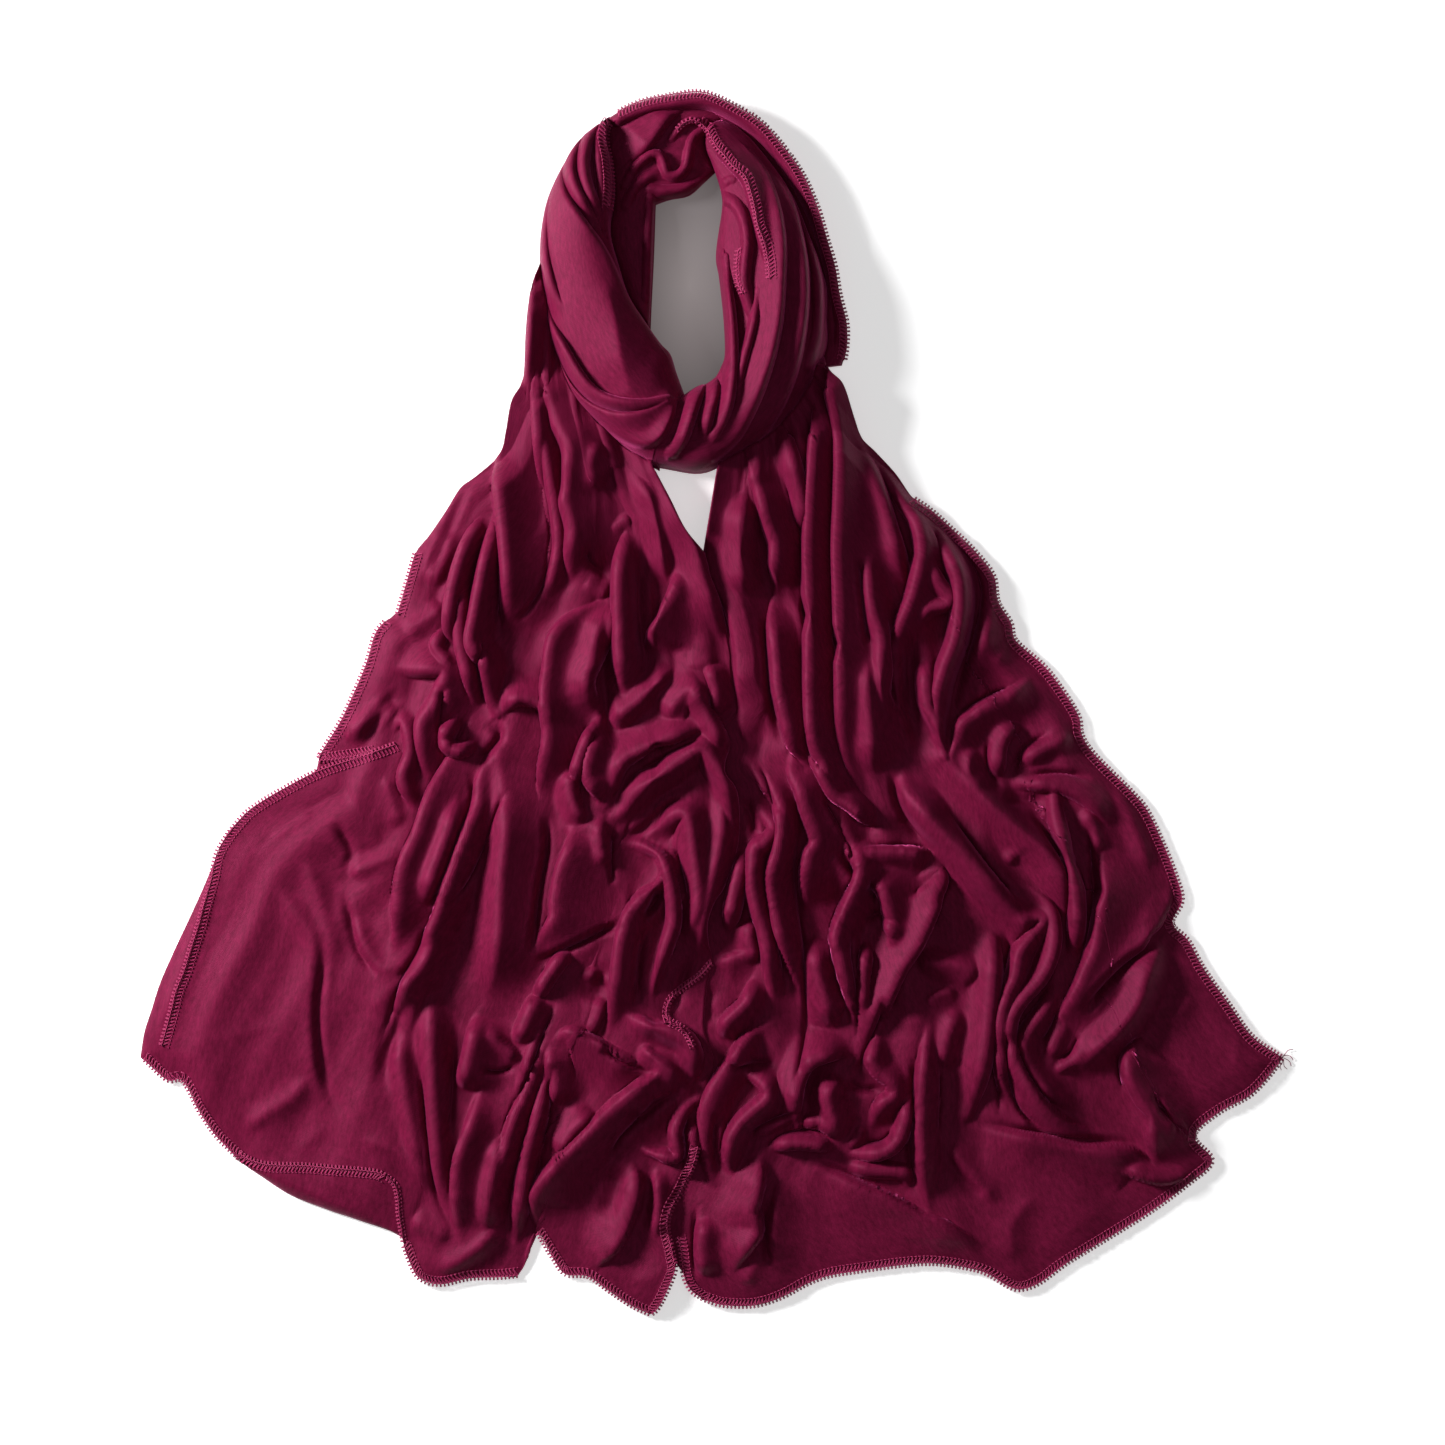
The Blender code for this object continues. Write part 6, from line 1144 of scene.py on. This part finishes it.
def tube(path, radius, sides=THREAD_SIDES):
    """Points and quads of a round tube: at each point of the path, a ring in the plane of the
    path's own side direction and the one square to it and to the path."""
    run = np.gradient(path, axis=0)
    run /= np.maximum(np.linalg.norm(run, axis=1), 1e-12)[:, None]
    level = np.cross(run, (0, 0, 1.0))
    level /= np.maximum(np.linalg.norm(level, axis=1), 1e-9)[:, None]
    upright = np.cross(level, run)
    turn = np.linspace(0, math.tau, sides, endpoint=False)
    rings = (path[:, None] + radius * (np.cos(turn)[None, :, None] * level[:, None]
                                       + np.sin(turn)[None, :, None] * upright[:, None]))
    rings = np.concatenate([path[None, :1] + 0 * rings[:1], rings, path[None, -1:] + 0 * rings[:1]])
    index = np.arange(len(rings) * sides).reshape(-1, sides)
    beside = np.roll(index, -1, axis=1)
    quads = np.stack([index[:-1], beside[:-1], beside[1:], index[1:]], axis=-1).reshape(-1, 4)
    return rings.reshape(-1, 3), quads


def overlock(line, inwards, surface, seen=1.0):
    """The thread lines along one edge. line is the edge on the chart, inwards is 1 or -1 for the
    hand on which the cloth lies, and surface gives the cloth's height at chart points. seen is
    the share of the width that shows where the edge is turned away. Over one stitch the zigzag's
    distance from the edge is half of 1 less a cosine, the edge loop is an ellipse, and the
    needle row keeps its distance and dips once into the cloth."""
    walked = lengths_along(line)[-1] * CHART_STEP
    count = max(3, round(walked / STITCH))
    edge = resampled(line, 8 * count + 1)
    run = np.gradient(edge, axis=0)
    run /= np.maximum(np.linalg.norm(run, axis=1), 1e-9)[:, None]
    square = np.column_stack([-run[:, 1], run[:, 0]]) * inwards
    turn = np.linspace(0, math.tau * count, 8 * count + 1)
    band = EDGE_BAND / CHART_STEP * seen
    lift = THREAD_RADIUS * 1.3

    def line_at(inset, forth, height):
        chart = edge + square * inset[:, None] + run * forth[:, None]
        world = (chart - CHART_CENTRE) * (CHART_STEP, -CHART_STEP)
        return np.column_stack([world, surface(chart) + height])

    still = np.zeros(len(turn))
    inset = 0.5 - 0.5 * np.cos(turn)
    zigzag = line_at(band * inset, ZIGZAG_SWAY * np.sin(turn) - SLANT * inset, lift - 0.0003 * inset)
    loops = line_at(LOOP_ACROSS * np.cos(turn) - LOOP_OUT, LOOP_ALONG * np.sin(turn),
                    lift + 0.0004 + 0.0003 * np.cos(turn))
    needle = line_at(band + still, still, lift + 0.0007 * np.cos(turn) - 0.0006)
    return [zigzag, loops, needle[::2]]


def thread_piece(name, paths, radius):
    """One piece of round thread along all these paths."""
    points, faces, first = [], [], 0
    for path in paths:
        ring_points, quads = tube(path, radius)
        points.append(ring_points)
        faces.append(quads + first)
        first += len(ring_points)
    mesh = bpy.data.meshes.new(name)
    mesh.from_pydata(np.vstack(points).tolist(), [], np.vstack(faces).tolist())
    mesh.shade_smooth()
    mesh.materials.append(thread)
    made = bpy.data.objects.new(name, mesh)
    bpy.context.scene.collection.objects.link(made)
    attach(made, "root")
    print(f"{name}: {2 * len(mesh.polygons)} triangles")
    return made


def sewn(name, edges):
    """The overlock along some edges."""
    paths = [path for line, *how in edges for path in overlock(side((line,), 6), *how)]
    return thread_piece(name, paths, THREAD_RADIUS)


# %% Which edges are sewn
LEFT_EDGE_UPPER = ((416, 553), (408, 580), (398, 615))
LEFT_EDGE_MIDDLE = ((386, 621), (376, 634), (368, 661), (357, 688), (341, 722), (321, 755), (327, 760),
                    (375, 753))
LEFT_EDGE_LOWER = ((397, 744), (360, 757), (326, 768), (300, 780), (260, 803), (240, 820), (219, 850),
                   (212, 880),
                   (205, 905), (200, 925), (192, 950), (186, 970), (178, 990), (173, 1010), (163, 1045))
LEFT_HEM_START = ((145, 1058), (168, 1079), (184, 1080), (200, 1110), (217, 1135), (240, 1158))
LEFT_HEM_TURNED = ((240, 1152), (250, 1158), (269, 1163), (303, 1164), (333, 1166), (362, 1168),
                   (379, 1170), (387, 1174))
LEFT_HEM_DOWN = ((388, 1175), (396, 1183), (399, 1196), (400, 1213), (402, 1228), (404, 1242))
LEFT_HEM_MIDDLE = ((404, 1244), (418, 1275), (440, 1283), (470, 1277), (500, 1276), (519, 1274))
LEFT_HEM_END = ((538, 1231), (554, 1258), (566, 1273), (588, 1275), (607, 1288), (631, 1304), (651, 1313))
LEFT_CORNER = ((651, 1313), (658, 1306), (668, 1286), (675, 1268), (674, 1258), (671, 1243), (668, 1230),
               (668, 1218), (672, 1205), (680, 1192), (688, 1175), (694, 1160), (698, 1144))
LEFT_CENTRE = ((712, 962), (700, 975), (686, 985), (672, 997), (667, 1008), (668, 1018), (678, 1023),
               (687, 1030), (694, 1044))
RIGHT_RIM_SEWN = TAIL_RIGHT_RIM[6:]
RIGHT_HEM_SEWN = TAIL_RIGHT_HEM[::-1]
RIGHT_CORNER = ((704, 1298), (691, 1288), (684, 1273), (681, 1250), (678, 1235))
LOOP_OUTER = ((618, 115), (635, 107), (653, 102), (689, 97), (709, 99), (735, 111), (760, 126), (781, 149),
              (801, 177), (816, 210), (826, 243), (834, 269), (839, 297), (846, 325), (846, 348),
              (844, 361))
LOOP_LEFT_EDGE = ((611, 126), (608, 133), (607, 146), (611, 166), (613, 192), (611, 216))
LOOP_ARCH = ((677, 134), (684, 127), (692, 124), (700, 126))
LOOP_INNER = ((700, 126), (706, 132), (711, 144), (717, 155), (724, 163), (733, 175), (744, 184),
              (749, 197),
              (754, 217), (757, 235), (764, 254), (767, 272), (768, 288))
LOOP_SHORT = ((738, 256), (736, 273), (737, 290), (742, 302))


def top_of(pieces):
    """A surface function for thread: the highest of these pieces' upper points near a place."""
    tree_points = []
    for piece in pieces:
        points = np.empty(3 * len(piece.data.vertices), np.float32)
        piece.data.vertices.foreach_get("co", points)
        tree_points.append(points.reshape(-1, 3))
    cloud = np.vstack(tree_points)
    place = cloud[:, :2] / (CHART_STEP, -CHART_STEP) + CHART_CENTRE
    cell = np.floor(place / 2.0).astype(int)
    low = cell.min(0)
    table = np.zeros(cell.max(0) - low + 5)
    np.maximum.at(table, tuple((cell - low + 2).T), cloud[:, 2])
    for _ in range(2):
        around = np.max([np.roll(table, shift, (0, 1)) for shift in ((0, 1), (0, -1), (1, 0),
                                                                     (-1, 0))], axis=0)
        table = np.where(table > 0, table, around)

    def height(chart):
        spot = chart / 2.0 - low + 1.5
        base = np.clip(np.floor(spot).astype(int), 0, np.array(table.shape) - 2)
        part = np.clip(spot - base, 0, 1)
        across = [table[base[:, 0] + i, base[:, 1]] * (1 - part[:, 1])
                  + table[base[:, 0] + i, base[:, 1] + 1] * part[:, 1] for i in (0, 1)]
        found = across[0] * (1 - part[:, 0]) + across[1] * part[:, 0]
        level = np.convolve(np.pad(found, 4, mode="edge"), np.full(9, 1 / 9), "valid")
        return np.maximum(np.maximum(found, level), EDGE_HEIGHT * 0.8)

    return height


on_left, on_right = top_of(tail_pieces[:1]), top_of(tail_pieces[1:])
on_loop = top_of(loop_pieces)
sewing_left = sewn("overlock_left", [
    (LEFT_EDGE_UPPER, -1, on_left), (LEFT_EDGE_MIDDLE, -1, on_left), (LEFT_EDGE_LOWER, -1, on_left),
    (LEFT_HEM_START, -1, on_left), (LEFT_HEM_TURNED, 1, on_left),
    (LEFT_HEM_DOWN, -1, on_left, 0.45), (LEFT_HEM_MIDDLE, -1, on_left),
    (LEFT_HEM_END, -1, on_left), (LEFT_CORNER, -1, on_left), (LEFT_CENTRE, 1, on_left, 0.5)])
sewing_right = sewn("overlock_right", [
    (RIGHT_RIM_SEWN, 1, on_right), (RIGHT_HEM_SEWN, 1, on_right), (RIGHT_CORNER, 1, on_right)])
sewing_loop = sewn("overlock_loop", [
    (LOOP_OUTER, 1, on_loop), (LOOP_LEFT_EDGE, 1, on_loop), (LOOP_INNER, -1, on_loop),
    (LOOP_ARCH, 1, on_loop, 0.35), (LOOP_SHORT, -1, on_loop, 0.4)])

# %% [markdown]
# ## Loose thread ends
#
# The overlocker's chain is cut off at the right-hand corner, and its threads fray there.

# %% Frayed corner
FRAY_START = (1281, 1057)
FRAYS = (((4, -2), (9, -1), (12, 3)), ((3, 1), (8, 4), (10, 9)), ((2, 4), (3, 9), (6, 12)),
         ((4, -4), (7, -7), (12, -8)), ((1, 5), (-1, 9), (0, 13)))


LOOSE_END_HEIGHT = 0.0006
FRAY_WAVES = 9              # radians of wave along one loose end


def frayed(steps):
    """One loose end. It sinks evenly to the table, with a squared sine for small waves."""
    chart = smooth(((-5, -1), (0, 0), *steps), 6) + FRAY_START
    world = (chart - CHART_CENTRE) * (CHART_STEP, -CHART_STEP)
    sinking = np.linspace(EDGE_HEIGHT, LOOSE_END_HEIGHT, len(world))
    waves = LOOSE_END_HEIGHT * np.sin(np.linspace(0, FRAY_WAVES, len(world))) ** 2
    return np.column_stack([world, sinking + waves])


LOOSE_THREAD_RADIUS = 0.00022
fray = thread_piece("frayed_threads", [frayed(steps) for steps in FRAYS], LOOSE_THREAD_RADIUS)

# %% Each stretch takes the place of its solid
for piece in tail_pieces + loop_pieces:
    piece.data.materials.append(jersey)
    node = piece.name.removesuffix("_cloth")
    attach(piece, "root")
    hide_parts(node)

# %% [markdown]
# ## What shows of the cloth
#
# Each shell holds the cloth that shows, and the flat size of that cloth is printed as it is built.
# The rest of the rectangle is wound up out of sight inside the loop and in the depths of the folds.

# %% The node of each shell
for piece in tail_pieces + loop_pieces:
    node = piece.name.removesuffix("_cloth")

# %% [markdown]
# ## Table, light and camera
#
# The scarf lies on a plain pale table. The camera looks straight down. One window-like light
# stands low and near at the upper left. It grazes the folds, and it is stronger at the left
# hem than at the right one. The room fills the shadows a little.
# The photo's table was cleared to white around the scarf and left grey inside the neck hole.
# So the table glows evenly, but in an oval round the hole shade is painted on it: there it is dark,
# with a fainter pinkish glow that dies away from its middle, in place of the shadow and shade that
# the loop casts into the hole. The oval's rim is hidden under the loop.

# %% Table
TABLE_SIDE = 6.0
TABLE_GLOW = 0.5
# Painted shade: in an oval round the neck hole the table gets a dark base colour and a weak pinkish glow
# that rises towards the oval's middle, in place of the loop's shadow.
HOLE_CENTRE = ((690 - CHART_CENTRE[0]) * CHART_STEP, (CHART_CENTRE[1] - 286) * CHART_STEP)
HOLE_REACH = (62 * CHART_STEP, 134 * CHART_STEP)
HOLE_PAINTED_GLOW_RIM = 0.085       # strength of the glow at the oval's rim
HOLE_PAINTED_GLOW_RISE = 0.17       # and how much is added in its middle
TABLE_SHADE = (0.86, 0.86, 0.865, 1)
HOLE_PAINTED_SHADE = (0.052, 0.048, 0.049, 1)
HOLE_PAINTED_GLOW_TINT = (1.0, 0.87, 0.87, 1)
table_mesh = bpy.data.meshes.new("table")
half = TABLE_SIDE / 2
table_corners = [(-half, -half, 0), (half, -half, 0), (half, half, 0), (-half, half, 0)]
table_mesh.from_pydata(table_corners, [], [(0, 1, 2, 3)])
table = bpy.data.objects.new("table", table_mesh)
bpy.context.scene.collection.objects.link(table)
table_white, tree, shader = plain_material("table_white", 0.9)
shader.inputs["Specular IOR Level"].default_value = 0.1
# The oval mask, inside which the painted shade replaces the table's even glow and colour.
oval = tree.nodes.new("ShaderNodeTexGradient")
oval.gradient_type = "SPHERICAL"
oval_place = tree.nodes.new("ShaderNodeMapping")
oval_place.vector_type = "TEXTURE"
oval_place.inputs["Location"].default_value = (*HOLE_CENTRE, 0)
oval_place.inputs["Scale"].default_value = (*HOLE_REACH, 1)
tree.links.new(tree.nodes.new("ShaderNodeTexCoord").outputs["Object"], oval_place.inputs["Vector"])
tree.links.new(oval_place.outputs[0], oval.inputs["Vector"])
outside = maths(tree, "GREATER_THAN", 0.01, oval.outputs["Fac"])
hole_painted_glow = maths(tree, "MULTIPLY_ADD", oval.outputs["Fac"], HOLE_PAINTED_GLOW_RISE, HOLE_PAINTED_GLOW_RIM)
glow = tree.nodes.new("ShaderNodeMix")
tree.links.new(outside, glow.inputs[0])
tree.links.new(hole_painted_glow, glow.inputs[2])
glow.inputs[3].default_value = TABLE_GLOW
tree.links.new(glow.outputs[0], shader.inputs["Emission Strength"])
shade = mixed(tree, outside, HOLE_PAINTED_SHADE, TABLE_SHADE)
tree.links.new(shade, shader.inputs["Base Color"])
glow_colour = mixed(tree, outside, HOLE_PAINTED_GLOW_TINT, (1, 1, 1, 1))
tree.links.new(glow_colour, shader.inputs["Emission Color"])
table.data.materials.append(table_white)

# %% Lights
WINDOW_PLACE = (-1.30, 0.55, 0.75)
WINDOW_SIZE = 0.42
WINDOW_POWER = 54.0
CEILING_DIRECTION = (0.2, 0.1, 1.0)
CEILING_STRENGTH = 0.35
CEILING_SPREAD = 60         # degrees
ROOM_STRENGTH = 0.11


def window(name, place, size, power):
    """A round lamp of this size at a place, aimed at the middle of the scarf."""
    data = bpy.data.lights.new(name, "AREA")
    data.shape, data.size, data.energy = "DISK", size, power
    made = bpy.data.objects.new(name, data)
    made.location = place
    made.rotation_euler = Vector(place).to_track_quat("Z", "Y").to_euler()
    bpy.context.scene.collection.objects.link(made)


def sun(name, direction, strength, spread):
    """A far light of this angular size, from a direction."""
    data = bpy.data.lights.new(name, "SUN")
    data.energy, data.angle = strength, math.radians(spread)
    made = bpy.data.objects.new(name, data)
    made.rotation_euler = Vector(direction).to_track_quat("Z", "Y").to_euler()
    bpy.context.scene.collection.objects.link(made)


window("window", WINDOW_PLACE, WINDOW_SIZE, WINDOW_POWER)
sun("ceiling", CEILING_DIRECTION, CEILING_STRENGTH, CEILING_SPREAD)
world = bpy.data.worlds.new("room")
world.use_nodes = True
world.node_tree.nodes["Background"].inputs["Color"].default_value = (1, 1, 1, 1)
world.node_tree.nodes["Background"].inputs["Strength"].default_value = ROOM_STRENGTH
bpy.context.scene.world = world
bpy.context.scene.view_settings.view_transform = "Standard"

# %% Camera
FRAME_CENTRE = ((722.5 - CHART_CENTRE[0]) * CHART_STEP, (CHART_CENTRE[1] - 722.5) * CHART_STEP)
FRAME_SIDE = 1445 * CHART_STEP
lens = bpy.data.cameras.new("camera")
lens.lens, lens.sensor_width = 85, 36
camera = bpy.data.objects.new("camera", lens)
camera.location = (*FRAME_CENTRE, FRAME_SIDE * lens.lens / lens.sensor_width)
bpy.context.scene.collection.objects.link(camera)
bpy.context.scene.camera = camera
print("camera height", round(camera.location.z, 3))
